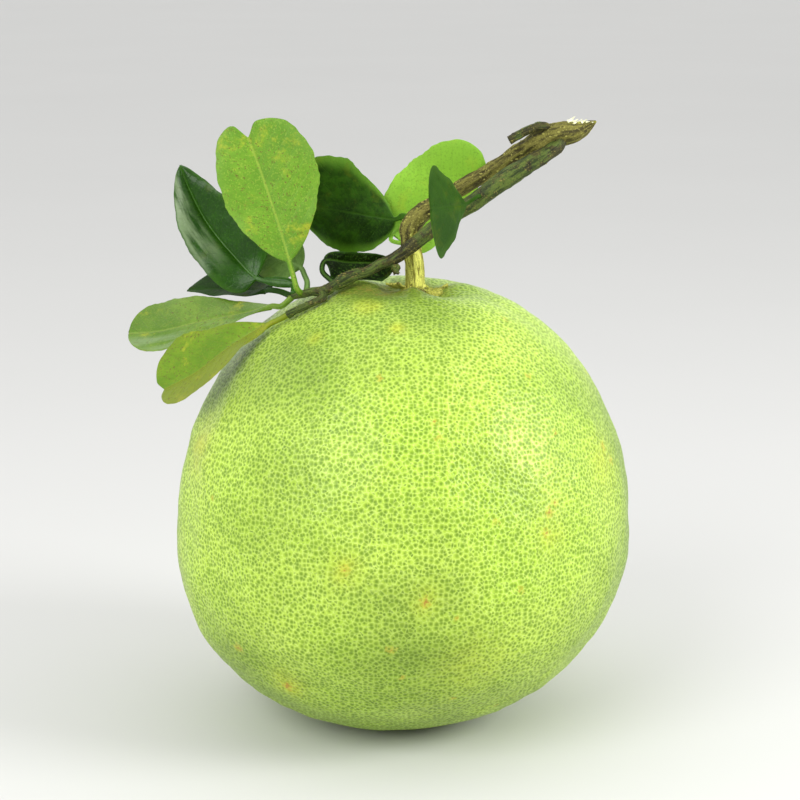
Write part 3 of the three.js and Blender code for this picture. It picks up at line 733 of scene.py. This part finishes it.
def splinter_maker():
    """Geometry Nodes that stand tapered splinters on the points of a torn face."""
    tree = bpy.data.node_groups.new("raise_splinters", "GeometryNodeTree")
    tree.interface.new_socket("Geometry", in_out="OUTPUT", socket_type="NodeSocketGeometry")
    tree.interface.new_socket("Geometry", in_out="INPUT", socket_type="NodeSocketGeometry")
    for label, kind in [("Width", "Float"), ("Way", "Vector"), ("Spread", "Float"), ("Seed", "Int"),
                        ("Wood", "Material")]:
        tree.interface.new_socket(label, in_out="INPUT", socket_type="NodeSocket" + kind)
    given = tree.nodes.new("NodeGroupInput").outputs
    length = named_number(tree, "length")
    cone = put(tree, "GeometryNodeMeshCone", {
        "Vertices": 6, "Side Segments": 3, "Radius Top": 0.12, "Radius Bottom": 1.0, "Depth": 1.0}).outputs[0]
    loose = put(tree, "FunctionNodeRandomValue", {
        "Min": (-1.0, -1.0, -1.0), "Max": (1.0, 1.0, 1.0), "Seed": given["Seed"]},
        data_type="FLOAT_VECTOR").outputs[0]
    drift = put(tree, "ShaderNodeVectorMath", {
        0: loose, "Scale": given["Spread"]}, operation="SCALE").outputs[0]
    way = vector_calc(tree, "ADD", given["Way"], drift).outputs[0]
    turn = put(tree, "FunctionNodeAlignRotationToVector", {"Vector": way}, axis="Z").outputs[0]
    thick = put(tree, "FunctionNodeRandomValue", {
        2: 0.6, 3: 1.3, "Seed": given["Seed"]}, data_type="FLOAT").outputs[1]
    width = calc(tree, "MULTIPLY", thick, given["Width"])
    size = put(tree, "ShaderNodeCombineXYZ", {
        "X": width, "Y": calc(tree, "MULTIPLY", width, 0.7), "Z": length}).outputs[0]
    stood = put(tree, "GeometryNodeInstanceOnPoints", {
        "Points": given["Geometry"], "Instance": cone, "Rotation": turn, "Scale": size}).outputs[0]
    real = put(tree, "GeometryNodeRealizeInstances", {"Geometry": stood}).outputs[0]
    wooden = put(tree, "GeometryNodeSetMaterial", {"Geometry": real, "Material": given["Wood"]}).outputs[0]
    tree.links.new(wooden, tree.nodes.new("NodeGroupOutput").inputs[0])
    return tree


tear_start = seat + np.array([52.6, -2.0, 58.6])
tear_finish = seat + np.array([60.2, -2.2, 58.9])
tear_way = np.array([0.84, -0.1, 0.42])
chance = np.random.default_rng(31)
spots = []
lengths = []
for _ in range(splinter_count):
    share = chance.uniform(0, 1) ** 1.4
    spread = (1 - share) * 1.7 + 0.25
    spots.append(tear_start + (tear_finish - tear_start) * share + np.array([
        chance.uniform(-0.4, 0.4), chance.uniform(-1, 1) * spread, chance.uniform(-0.8, 0.5) * spread]))
    lengths.append(longest_splinter * (1 - 0.5 * share) * chance.uniform(0.4, 1))
splinter_mesh = bpy.data.meshes.new("torn_end")
splinter_mesh.from_pydata((np.array(spots) * MM).tolist(), [], [])
splinters = bpy.data.objects.new("torn_end", splinter_mesh)
bpy.context.scene.collection.objects.link(splinters)
mark_points(splinters, "length", np.array(lengths) * MM)
grow(splinters, splinter_maker(), {
    "Width": splinter_width * MM, "Way": tuple(tear_way), "Spread": 0.2, "Seed": 5, "Wood": wood_finish})
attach(splinters, "root")
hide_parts("fruit_stalk")


# ---------------------------------------------------------------------------
# The leafy shoot: a younger, greener side branch that leaves the wood near
# the torn end, runs down beside it, passes the stalk and lies along the crown.
shoot_width = 5.0

# Dark greens: partly the shoot's own colour, partly painted shade from the leaves over the shoot.
shoot_bark = bark_finish(
    "green_shoot_bark", paint(84, 102, 36), paint(42, 56, 16), paint(70, 68, 28), paint(32, 32, 10),
    paint(126, 120, 56), 0.6)
shoot_line = twig_line([
    [49.5, -3.2, 51.8, 1.0, 0.8, 0.7], [46.5, -4.4, 49.2, 1.05, 0.6, 0.5], [39.5, -5.8, 45.3, 1.22, 0.4, 0.2],
    [32.5, -6.4, 41, 1.32, 0.2, 0.1], [26.5, -6.8, 36.6, 1.26, 0.2, 0.15], [19, -7.2, 31.2, 1.18, 0.2, 0.3],
    [12, -7.4, 27.0, 1.06, 0.3, 0.05], [6, -8, 22.8, 1.02, 0.4, 0.05], [-1.5, -8.2, 16.7, 0.98, 0.6, 0.1],
    [-6.5, -8, 13, 0.88, 0.65, 0.3],
    [-12, -8, 10.5, 0.76, 0.6, 0.1], [-17, -8.5, 8, 0.72, 0.5, 0.1], [-22.5, -9.5, 6.5, 0.9, 0.35, 1.0],
    [-27.5, -11.5, 4, 0.8, 0.35, 0.9], [-31.5, -13, 2, 0.7, 0.3, 0.5], [-36, -11.5, 1.5, 0.56, 0.2, 0.1],
    [-40.5, -10, 0, 0.5, 0.1, 0.1], [-44, -9, -1, 0.42, 0, 0],
], shoot_width, stalk_line)
shoot = grow_twig("leafy_shoot_twig", shoot_line, {
    "Sides": 36, "Step": 0.55 * MM, "Lump Height": 0.7 * MM, "Lump Size": 4.5 * MM, "Rib Height": 0.10 * MM,
    "Rib Count": 5.0, "Wart Size": 0.38 * MM, "Warts": 110000.0, "Seed": 8, "Bark": shoot_bark})
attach(shoot, "root")
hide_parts("leafy_shoot")


# ---------------------------------------------------------------------------
# The small twigs: a thin one that carries the lowest leaf, the cut stub of an
# old side shoot, and a broken spur. Each grew out of the wood it stands on.
lower_line = twig_line([
    [-32, -17, 0, 1, 0.5, 0.4], [-36, -18, -1.5, 0.95, 0.4, 0.2], [-40.5, -18, -3.5, 0.95, 0.1, 0.2],
    [-44, -17.5, -5.5, 1.15, 0, 0.1]], 2.6, shoot_line)
lower_shoot = grow_twig("lower_shoot_twig", lower_line, {
    "Sides": 24, "Step": 0.4 * MM, "Lump Height": 0.5 * MM, "Lump Size": 3 * MM, "Rib Height": 0.05 * MM,
    "Rib Count": 4.0, "Wart Size": 0.3 * MM, "Warts": 220000.0, "Seed": 12, "Bark": shoot_bark})
stub_line = twig_line([
    [45.2, -2, 57.6, 0.9, 0.8, 0.6], [43.0, -2.6, 57.9, 0.95, 0.6, 0.4], [39.5, -3, 56.8, 0.95, 0.5, 0.3],
    [35.5, -3.3, 54.8, 0.95, 0.4, 0.3], [32.3, -3.3, 53, 1, 0.9, 0.6]], 3.2, stalk_line)
stub = grow_twig("cut_stub", stub_line, {
    "Sides": 24, "Step": 0.4 * MM, "Lump Height": 0.6 * MM, "Lump Size": 3 * MM, "Rib Height": 0.06 * MM,
    "Rib Count": 5.0, "Wart Size": 0.35 * MM, "Warts": 220000.0, "Seed": 14, "Bark": shoot_bark})
spur_line = twig_line([[-6.9, -8.8, 9.2, 1, 0.6, 1], [-6.4, -9.2, 7.4, 0.85, 0.9, 1]], 3.0, shoot_line)
spur = grow_twig("broken_spur_wood", spur_line, {
    "Sides": 20, "Step": 0.35 * MM, "Lump Height": 1.1 * MM, "Lump Size": 2.0 * MM, "Rib Height": 0.1 * MM,
    "Rib Count": 4.0, "Wart Size": 0.35 * MM, "Warts": 400000.0, "Seed": 17, "Bark": shoot_bark})
for piece, node in ((lower_shoot, "lower_shoot"), (stub, "cut_side_shoot"), (spur, "broken_spur")):
    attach(piece, "root")
    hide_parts(node)


# ---------------------------------------------------------------------------
# The leaves: ten leathery citrus leaves, each one blade on its own petiole,
# with a midrib, slanting side veins, fine netting and a faintly scalloped margin.
# Each grew from the shoot or the stalk, and turns to the light in its own way.
petiole_width = 1.9
leaf_thickness = 0.6
midrib_depth = 0.55
base_length = 0.25
petiole_taper = 0.5
lobe_rounding = 2.4
leaf_rows = 84
leaf_columns = 49
petiole_rows = 14
side_vein_spacing = 4.6
side_vein_slant = 0.75


def leaf_finish(name, light, deep, vein, under, blemish, gloss, vein_show, painted_lit_edge, shine_level,
                left_yellow=0.0, painted_sheen=0.0):
    """A leaf's two faces: light and deep greens, veins, yellow blemishes, brown flecks, shine, a painted
    highlight along the rim and painted sheen streaks.
    """
    finish, tree, shader = new_finish(name, gloss, shine_level)
    place = put(tree, "ShaderNodeTexCoord").outputs["Object"]
    blade = put(tree, "ShaderNodeSeparateXYZ", {0: kept(tree, "blade").outputs["Vector"]}).outputs
    across, along, edge = blade[0], blade[1], blade[2]
    upper_face = kept(tree, "upper_face").outputs["Fac"]
    wander = mottle(tree, place, 170.0, 2.0)
    cloud = mottle(tree, place, 60.0, 3.0)
    grit = mottle(tree, place, 1300.0, 2.0)
    side = calc(tree, "ABSOLUTE", across)
    climb = calc(tree, "SUBTRACT", along, calc(tree, "MULTIPLY", side, side_vein_slant))
    climb = calc(tree, "DIVIDE", climb, side_vein_spacing)
    climb = calc(tree, "ADD", climb, calc(tree, "MULTIPLY", wander, 0.55))
    climb = calc(tree, "ADD", climb, calc(tree, "MULTIPLY", calc(tree, "GREATER_THAN", across, 0.0), 0.4))
    from_line = calc(tree, "PINGPONG", climb, 0.5)
    side_veins = ease(tree, from_line, 0.02, 0.075, 1.0, 0.0)
    side_veins = calc(tree, "MULTIPLY", side_veins, ease(tree, edge, 0.98, 0.7))
    midrib = ease(tree, side, 0.15, 0.6, 1.0, 0.0)
    net = put(tree, "ShaderNodeTexVoronoi", {"Vector": place, "Scale": 620.0}, feature="DISTANCE_TO_EDGE")
    netting = ease(tree, net.outputs["Distance"], 0.02, 0.12, 1.0, 0.0)
    body = tinted(tree, ease(tree, cloud, 0.38, 0.62), deep, light)
    body = tinted(tree, ease(tree, mottle(tree, place, 420.0, 4.0), 0.40, 0.62, 0.0, 0.6), body, deep)
    body = tinted(tree, ease(tree, mottle(tree, place, 1500.0, 2.0), 0.54, 0.66, 0.0, 0.4), body, vein)
    # Paler towards the margin: a painted highlight along the rim.
    body = tinted(tree, calc(tree, "MULTIPLY", ease(tree, edge, 0.7, 0.98), painted_lit_edge), body, under)
    body = tinted(tree, calc(tree, "MULTIPLY", netting, 0.16), body, light)
    yellow = ease(tree, mottle(tree, place, 85.0, 5.0, 0.7), 0.54, 0.70, 0.0, 0.75)
    yellow = calc(tree, "MULTIPLY", yellow, blemish)
    body = tinted(tree, yellow, body, paint(172, 176, 44))
    left_half = calc(tree, "MULTIPLY", ease(tree, across, 0.3, -0.3), left_yellow)
    body = tinted(tree, left_half, body, paint(122, 130, 30))
    body = tinted(tree, calc(tree, "MULTIPLY", side_veins, vein_show), body, vein)
    body = tinted(tree, calc(tree, "MULTIPLY", midrib, min(1.0, 0.35 + vein_show * 2)), body, vein)
    # Paler grey-green streaks along the left half: a painted sheen, standing in for a highlight.
    lengthwise = kept(tree, "blade").outputs["Vector"]
    lengthwise = vector_calc(tree, "MULTIPLY", lengthwise, (0.3, 0.05, 0.0)).outputs[0]
    painted_sheen_streaks = ease(tree, mottle(tree, lengthwise, 1.0), 0.34, 0.62)
    painted_sheen_streaks = calc(tree, "MULTIPLY", painted_sheen_streaks, ease(tree, across, -0.5, -4.0))
    painted_sheen_streaks = calc(tree, "MULTIPLY", painted_sheen_streaks, ease(tree, along, 6.0, 28.0))
    painted_sheen_streaks = calc(tree, "MULTIPLY", painted_sheen_streaks, ease(tree, edge, 1.0, 0.9, 0.0, painted_sheen))
    body = tinted(tree, painted_sheen_streaks, body, paint(136, 156, 116))
    flecks = ease(tree, grit, 0.60, 0.68)
    flecks = calc(tree, "MULTIPLY", flecks, ease(tree, cloud, 0.40, 0.6, 0.3 * blemish, blemish))
    body = tinted(tree, flecks, body, paint(96, 88, 34))
    back = tinted(tree, ease(tree, cloud, 0.35, 0.65), under, light)
    back = tinted(tree, calc(tree, "MULTIPLY", calc(tree, "MAXIMUM", side_veins, midrib), 0.5), back, vein)
    tree.links.new(tinted(tree, upper_face, back, body), shader.inputs["Base Color"])
    shine = calc(tree, "ADD", calc(tree, "MULTIPLY", calc(tree, "SUBTRACT", 1.0, upper_face), 0.2), gloss)
    tree.links.new(calc(tree, "ADD", shine, calc(tree, "MULTIPLY", wander, 0.08)), shader.inputs["Roughness"])
    carve = calc(tree, "MULTIPLY", calc(tree, "MAXIMUM", side_veins, midrib), -1.0)
    carve = calc(tree, "ADD", carve, calc(tree, "MULTIPLY", grit, 0.35))
    carve = calc(tree, "SUBTRACT", carve, calc(tree, "MULTIPLY", netting, 0.25))
    raised(tree, shader, carve, 0.12 * MM, 0.7)
    return finish


def leaf_outline(along, widest, base, tip):
    """Half-width as a share of the widest, from the blade's base at 0 to its tip at 1."""
    if along < widest:
        away, power = 1 - along / widest, base
    else:
        away, power = (along - widest) / (1 - widest), tip
    return max(0.0, 1 - away ** power) ** (1 / power)


def grow_leaf(leaf, seed):
    """The points and faces of one leaf, and where each point lies on the blade."""
    width_share, lift = leaf["halves"], np.radians(leaf["lift"])
    widest, base, tip, notch = (np.array(leaf[name], dtype=float) * np.ones(2)
                                for name in ("widest", "base", "tip", "notch"))
    wing, petiole_half = leaf.get("wing", 0.0), leaf.get("petiole_width", petiole_width) / 2
    blade_points = [clear_of_rind(np.array(p) + seat, 1.3) for p in leaf["blade"]]
    petiole_points = [clear_of_rind(np.array(p) + seat, petiole_half + 0.3) for p in leaf["petiole"]]
    twig, thickness = leaf["twig"][0], leaf["twig"][1]
    nearest_place = min(len(twig) - 8, np.argmin(np.linalg.norm(twig - petiole_points[0], axis=1)))
    outward_way = petiole_points[0] - twig[nearest_place]
    outward_way /= np.linalg.norm(outward_way)
    root = twig[nearest_place] + outward_way * thickness[nearest_place] * 0.55
    line = smooth_line([root, *petiole_points, *blade_points])
    travelled = np.concatenate([[0], np.cumsum(np.linalg.norm(np.diff(line, axis=0), axis=1))])
    blade_start = travelled[(len(petiole_points) + 1) * line_samples] / travelled[-1]
    places_along = [blade_start * i / petiole_rows for i in range(petiole_rows)]
    for i in range(leaf_rows + 1):
        share = i / leaf_rows
        eased = share * 0.35 + 0.65 * math.sin(math.pi / 2 * share)
        places_along.append(blade_start + (1 - blade_start) * eased)
    stations = np.array(places_along) * travelled[-1]
    middle = np.stack([np.interp(stations, travelled, line[:, k]) for k in range(3)], -1)
    slopes = [np.gradient(line[:, k], travelled) for k in range(3)]
    forward = np.stack([np.interp(stations, travelled, slope) for slope in slopes], -1)
    forward /= np.linalg.norm(forward, axis=1)[:, None]
    faces_up = np.array(leaf["face"], dtype=float)
    faces_up /= np.linalg.norm(faces_up, axis=1)[:, None]
    t = np.linspace(-1, 1, leaf_columns)
    shares = np.sign(t) * np.sin(np.pi / 2 * np.abs(t)) ** 1.2
    blade_length = travelled[-1] * (1 - blade_start)
    chance = np.random.default_rng(seed)
    phases = chance.uniform(0, 2 * math.pi, 4)
    points, blade, upper_face = [], [], []
    for row, place_along in enumerate(places_along):
        along = max(0.0, (place_along - blade_start) / (1 - blade_start))
        ahead = forward[row]
        up = faces_up[0] * (1 - along) + faces_up[1] * along
        across = np.cross(ahead, up)
        across /= np.linalg.norm(across)
        up = np.cross(across, ahead)
        flow = min(1.0, along / base_length)
        half_round = petiole_half * (1 - petiole_taper * min(1.0, along / widest.min()))
        if place_along < blade_start:
            half_round *= 1 + 0.2 * math.exp(-place_along / blade_start * 5)
        thick = max(leaf_thickness / 2, half_round * (1 - along / base_length))
        winged = wing * math.sin(math.pi * min(1.0, place_along / blade_start)) ** 0.8
        side_half = np.where(shares < 0, 0, 1)
        tipward = np.clip((along - widest) / (1 - widest), 0, 1)
        tipward = (tipward ** 2 * (3 - 2 * tipward))[side_half]
        outline = np.array([leaf_outline(along, widest[k], base[k], tip[k]) for k in (0, 1)])[side_half]
        travel = along * blade_length + phases[2]
        scallop = 1 + 0.007 * flow * math.sin(2 * math.pi * travel / 3.1 + 2 * math.sin(travel / 4))
        scallop += 0.014 * flow * math.sin(2 * math.pi * travel / 9.3 + phases[3])
        width = np.maximum(max(half_round, winged), np.array(width_share)[side_half] * outline * scallop)
        reach = np.abs(shares) * width
        tilt = lift[side_half] * flow
        lobe = notch[side_half] * tipward * (1 - np.exp(-(reach / lobe_rounding) ** 2))
        ripple = leaf["ripple"] * flow * np.abs(shares) ** 2 * np.sin(
            2 * math.pi * along * leaf.get("waves", 2.2) + np.where(shares < 0, phases[0], phases[1]))
        side_phase = (along * blade_length - side_vein_slant * reach) / side_vein_spacing
        quilt = 0.05 * flow * np.cos(2 * math.pi * side_phase) * np.clip(reach / 3, 0, 1)
        quilt = quilt * (1 - np.abs(shares) ** 4)
        bow = leaf.get("bow", 0.0) * flow * np.abs(shares) ** 2
        groove = 0.3 * flow * np.exp(-(reach / 0.8) ** 2)
        centre = (middle[row] + np.outer(np.sign(shares) * reach * np.cos(tilt), across)
                  + np.outer(reach * np.sin(tilt) + ripple + quilt + bow, up) + np.outer(lobe, ahead))
        centre = np.array([clear_of_rind(p, thick + 0.5) for p in centre])
        plump = thick * np.sqrt(np.clip(1 - np.abs(shares) ** 2.6, 0, 1))
        rib = (midrib_depth * (1 - along) if along > 0 else 0) * np.exp(-(reach / 0.9) ** 2)
        tops = centre + np.outer(plump - groove, up)
        unders = centre - np.outer(plump + rib, up)
        points.append(np.concatenate([tops, unders[-2:0:-1]]))
        climbed = np.full(len(shares), along * blade_length)
        lies = np.stack([np.sign(shares) * reach, climbed, np.abs(shares)], -1)
        blade.append(np.concatenate([lies, lies[-2:0:-1]]))
        upper_face.append(np.concatenate([np.ones(leaf_columns), np.zeros(leaf_columns - 2)]))
    size = 2 * (leaf_columns - 1)
    faces = []
    for row in range(len(points) - 1):
        for s in range(size):
            a, b = row * size + s, row * size + (s + 1) % size
            faces.append((a, b, b + size, a + size))
    last = (len(points) - 1) * size
    for j in range(leaf_columns - 1):
        low_a, low_b = (size - j) % size, size - j - 1
        end = [j, j + 1, low_b, low_a]
        end = [end[k] for k in range(4) if end[k] not in end[:k]]
        faces.append([last + k for k in end])
        faces.append(end[::-1])
    return np.concatenate(points), faces, np.concatenate(blade), np.concatenate(upper_face)


upright_finish = leaf_finish(
    "upright_leaf_green", paint(106, 150, 35), paint(89, 134, 30), paint(153, 176, 63), paint(120, 157, 60),
    0.95, 0.45, 0.07, 0.2, 0.24)
glossy_finish = leaf_finish(
    "glossy_leaf_green", paint(40, 84, 8), paint(25, 61, 3), paint(57, 101, 17), paint(84, 130, 40),
    0.1, 0.24, 0.08, 0.2, 0.22, 0.0, 0.75)
shaded_finish = leaf_finish(
    "shaded_leaf_green", paint(51, 92, 15), paint(23, 48, 6), paint(61, 101, 25), paint(97, 142, 43),
    0.15, 0.38, 0.06, 1.0, 0.1)
pale_finish = leaf_finish(
    "pale_leaf_green", paint(143, 196, 58), paint(130, 182, 51), paint(92, 131, 36), paint(140, 182, 79),
    0.3, 0.5, 0.06, 0.1, 0.22)
small_finish = leaf_finish(
    "small_leaf_green", paint(44, 79, 13), paint(34, 66, 9), paint(46, 79, 16), paint(75, 111, 37),
    0.1, 0.5, 0.1, 0.25, 0.08)
# Very dark greens: partly the leaf's own colour, partly painted shade under the leaves above it.
curled_shaded_finish = leaf_finish(
    "curled_leaf_green_painted_shade", paint(29, 54, 9), paint(12, 25, 3), paint(82, 123, 38), paint(51, 85, 25),
    0.1, 0.4, 0.05, 0.95, 0.1)
left_finish = leaf_finish(
    "left_leaf_green", paint(109, 142, 39), paint(84, 120, 27), paint(133, 155, 61), paint(124, 149, 63),
    1.0, 0.3, 0.06, 0.2, 0.3, 0.0, 0.55)
lower_finish = leaf_finish(
    "lower_leaf_green", paint(110, 144, 23), paint(89, 127, 16), paint(127, 137, 38), paint(127, 134, 29),
    1.0, 0.42, 0.07, 0.3, 0.22, 0.65)
under_finish = leaf_finish(
    "under_leaf_green", paint(30, 62, 8), paint(21, 46, 4), paint(39, 72, 13), paint(43, 76, 15),
    0.1, 0.45, 0.1, 0.2, 0.12)
rear_finish = leaf_finish(
    "rear_leaf_green", paint(101, 135, 61), paint(75, 107, 42), paint(115, 149, 75), paint(118, 152, 77),
    0.1, 0.5, 0.25, 0.2, 0.15)

leaves = [
    {"node": "leaf_upright", "slot": "leaf_light", "finish": upright_finish, "twig": shoot_line,
     "petiole": [[-41, -12.5, 3], [-42, -12, 6.5]],
     "blade": [[-43.5, -11, 12], [-46.5, -9, 22.5], [-50, -7, 33], [-54, -5, 44.5], [-57.6, -3.6, 54.2]],
     "face": [[0.1, -1, 0.1], [0, -1, -0.1]], "halves": [15.4, 19.5], "widest": [0.56, 0.62],
     "base": [1.5, 1.35], "tip": [2.5, 2.6], "lift": [6, 4], "notch": [6.2, 4.6], "ripple": 0.6},
    {"node": "leaf_glossy", "slot": "leaf_dark", "finish": glossy_finish, "twig": shoot_line,
     "petiole": [[-42.5, -6, 3], [-49, -4, 3.8]],
     "blade": [[-55.5, -1, 4.5], [-63.5, 3, 11.5], [-73.5, 8, 23], [-79.5, 11, 34], [-83, 13, 42.5]],
     "face": [[-0.1, -1, 0.3], [-0.2, -1, 0.2]], "halves": [12.2, 15], "widest": [0.36, 0.42],
     "base": [3.0, 2.6], "tip": [1.5, 1.35], "lift": [26, 24], "notch": 0, "ripple": 0.6, "bow": -1.5,
     "wing": 1.9},
    {"node": "leaf_shaded", "slot": "leaf_dark", "finish": shaded_finish, "twig": stalk_line,
     "petiole": [[-4.5, 7, 25]],
     "blade": [[-7, 8.5, 24], [-14, 11, 24.5], [-23, 14, 25.5], [-32, 17, 26.5], [-40, 19, 26.5]],
     "face": [[0, -1, 0], [0.2, -1, 0]], "halves": [15.5, 19.4], "widest": [0.5, 0.62],
     "base": [1.8, 1.3], "tip": [2.2, 3.0], "lift": [-16, 6], "notch": 1, "ripple": 0.9, "wing": 1.6},
    {"node": "leaf_pale", "slot": "leaf_pale", "finish": pale_finish, "twig": stalk_line,
     "petiole": [[-5.5, 5.5, 16], [-8.5, 9.5, 16.4]],
     "blade": [[-8, 12, 18], [0, 14, 23.5], [9, 15, 30], [17.5, 14, 37], [25, 12, 43]],
     "face": [[0, -1, 0], [0.1, -1, 0.1]], "halves": [17, 12.6], "widest": [0.56, 0.2],
     "base": [2.6, 2], "tip": [2.8, 1.25], "lift": [3, 3], "notch": 1.5, "ripple": 0.6, "petiole_width": 1.5},
    {"node": "leaf_small", "slot": "leaf_dark", "finish": small_finish, "twig": shoot_line,
     "petiole": [[21.5, -12, 35]],
     "blade": [[17.5, -13.5, 32.5], [14, -19, 32.8], [9.6, -26, 33.2], [5, -32, 33.6]],
     "face": [[0.85, -0.5, 0.14], [0.85, -0.5, 0.14]], "halves": [17, 14], "widest": 0.86,
     "base": 1.15, "tip": 3, "lift": [2, 2], "notch": 0.8, "ripple": 0.3, "petiole_width": 1.2},
    {"node": "leaf_curled", "slot": "leaf_dark", "finish": curled_shaded_finish, "twig": shoot_line,
     "petiole": [[-29.5, -7, 5], [-32.5, -3, 7.5]],
     "blade": [[-31.5, 0, 10.5], [-23, 3, 9.5], [-14, 5, 9], [-7, 7, 8.5]],
     "face": [[0, -1, 0.25], [0, -1, 0.25]], "halves": [4, 9], "widest": 0.4, "base": 2.4, "tip": 2,
     "lift": [30, 8], "notch": 0, "ripple": 0.4},
    {"node": "leaf_left_upper", "slot": "leaf_light", "finish": left_finish, "twig": shoot_line,
     "petiole": [[-46.5, -11, -3.6]],
     "blade": [[-50, -8, -4.2], [-57.5, -4, -6.8], [-68.5, 0, -9.7], [-79, 3, -12.5], [-90, 5, -15.5],
               [-102, 7, -17]],
     "face": [[0, -0.41, 0.91], [0, -0.41, 0.91]], "halves": [9, 16], "widest": [0.76, 0.72],
     "base": [1.12, 1.15], "tip": [2.3, 2.5], "lift": [-14, 9], "notch": 0, "ripple": 0.5},
    {"node": "leaf_left_lower", "slot": "leaf_light", "finish": lower_finish, "twig": lower_line,
     "petiole": [[-47, -18, -7]],
     "blade": [[-50, -18, -8.4], [-57, -18, -12], [-66, -17.5, -18], [-76, -16, -26], [-87.5, -14.5, -32.5]],
     "face": [[-0.45, -0.6, 0.65], [-0.57, -0.59, 0.57]], "halves": [15, 18], "widest": [0.68, 0.7],
     "base": [1.15, 1.12], "tip": [2.6, 2.6], "lift": [22, 4], "notch": [1.2, 2.2], "ripple": 0.6},
    {"node": "leaf_under", "slot": "leaf_dark", "finish": under_finish, "twig": shoot_line,
     "petiole": [[-47, -5.5, 0.5], [-51, -1, 0.3]],
     "blade": [[-53, 4, -0.8], [-62, 10, -1.6], [-72, 15.5, -2.4], [-82, 19.5, -3.4]],
     "face": [[0, -0.4, 0.9], [0, -0.4, 0.9]], "halves": [5, 12], "widest": 0.45, "base": 2.6, "tip": 1.6,
     "lift": [4, 12], "notch": 0, "ripple": 0.4},
    {"node": "leaf_rear", "slot": "leaf_dark", "finish": rear_finish, "twig": shoot_line,
     "petiole": [[-37.6, -7, 4], [-38.6, -2.5, 5.6]],
     "blade": [[-40.4, 2.5, 7.8], [-47.5, 9, 10], [-54, 14, 13], [-60, 17, 16]],
     "face": [[0, -1, 0.2], [0, -1, 0.2]], "halves": [9, 12], "widest": 0.5, "base": 1.8, "tip": 1.8,
     "lift": [5, 5], "notch": 0, "ripple": 0.4},
]
for number, leaf in enumerate(leaves):
    points, faces, blade, upper_face = grow_leaf(leaf, 40 + number)
    piece = solid_from(leaf["node"] + "_blade", points, faces, leaf["finish"])
    mark_points(piece, "blade", blade)
    mark_points(piece, "upper_face", upper_face)
    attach(piece, "root")
    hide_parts(leaf["node"])


# ---------------------------------------------------------------------------
# The studio: a plain pale floor, a white surround that is darker in front and
# looks grey to the camera, a soft light from the right, a broader one from the
# front left, and the camera.
floor_finish, tree, shader = new_finish("pale_floor", 0.7, 0.2)
place = put(tree, "ShaderNodeTexCoord").outputs["Object"]
floor_colour = tinted(tree, mottle(tree, place, 3.0), paint(204, 204, 202), paint(208, 208, 206))
tree.links.new(floor_colour, shader.inputs["Base Color"])
floor = solid_from("studio_floor", np.array([[-6, -6, 0], [6, -6, 0], [6, 6, 0], [-6, 6, 0]]) * 1000,
                   [(0, 1, 2, 3)], floor_finish)

surround = bpy.data.worlds.new("white_surround")
surround.use_nodes = True
sky = surround.node_tree
sky_way = put(sky, "ShaderNodeSeparateXYZ", {0: put(sky, "ShaderNodeTexCoord").outputs["Generated"]}).outputs
front = ease(sky, sky_way["Y"], -0.95, -0.15)
lit = tinted(sky, front, (0.34, 0.34, 0.34, 1), (1, 1, 1, 1))
seen = put(sky, "ShaderNodeLightPath").outputs["Is Camera Ray"]
sky.links.new(tinted(sky, seen, lit, (0.6, 0.6, 0.6, 1)), sky.nodes["Background"].inputs["Color"])
sky.nodes["Background"].inputs["Strength"].default_value = 1.12
bpy.context.scene.world = surround

look_at = Vector((0.0022, 0.0, 0.1148))
camera_distance = 0.79


def soft_light(name, way, distance, size, power):
    lamp = bpy.data.lights.new(name, "AREA")
    lamp.shape = "DISK"
    lamp.size = size
    lamp.energy = power
    holder = bpy.data.objects.new(name, lamp)
    holder.location = look_at + Vector(way).normalized() * distance
    holder.rotation_euler = (holder.location - look_at).to_track_quat("Z", "Y").to_euler()
    bpy.context.scene.collection.objects.link(holder)


soft_light("key_light", (0.86, -0.32, 0.42), 1.1, 0.5, 8.5)
soft_light("fill_light", (-0.6, -0.85, 0.6), 1.3, 0.9, 11.0)

lens = bpy.data.cameras.new("camera")
lens.lens = 100
lens.sensor_width = 36
camera = bpy.data.objects.new("camera", lens)
lookdown = math.radians(13)
camera.location = look_at + Vector((0, -math.cos(lookdown), math.sin(lookdown))) * camera_distance
camera.rotation_euler = (math.radians(90) - lookdown, 0, 0)
bpy.context.scene.collection.objects.link(camera)
bpy.context.scene.camera = camera
bpy.context.scene.view_settings.view_transform = "Standard"
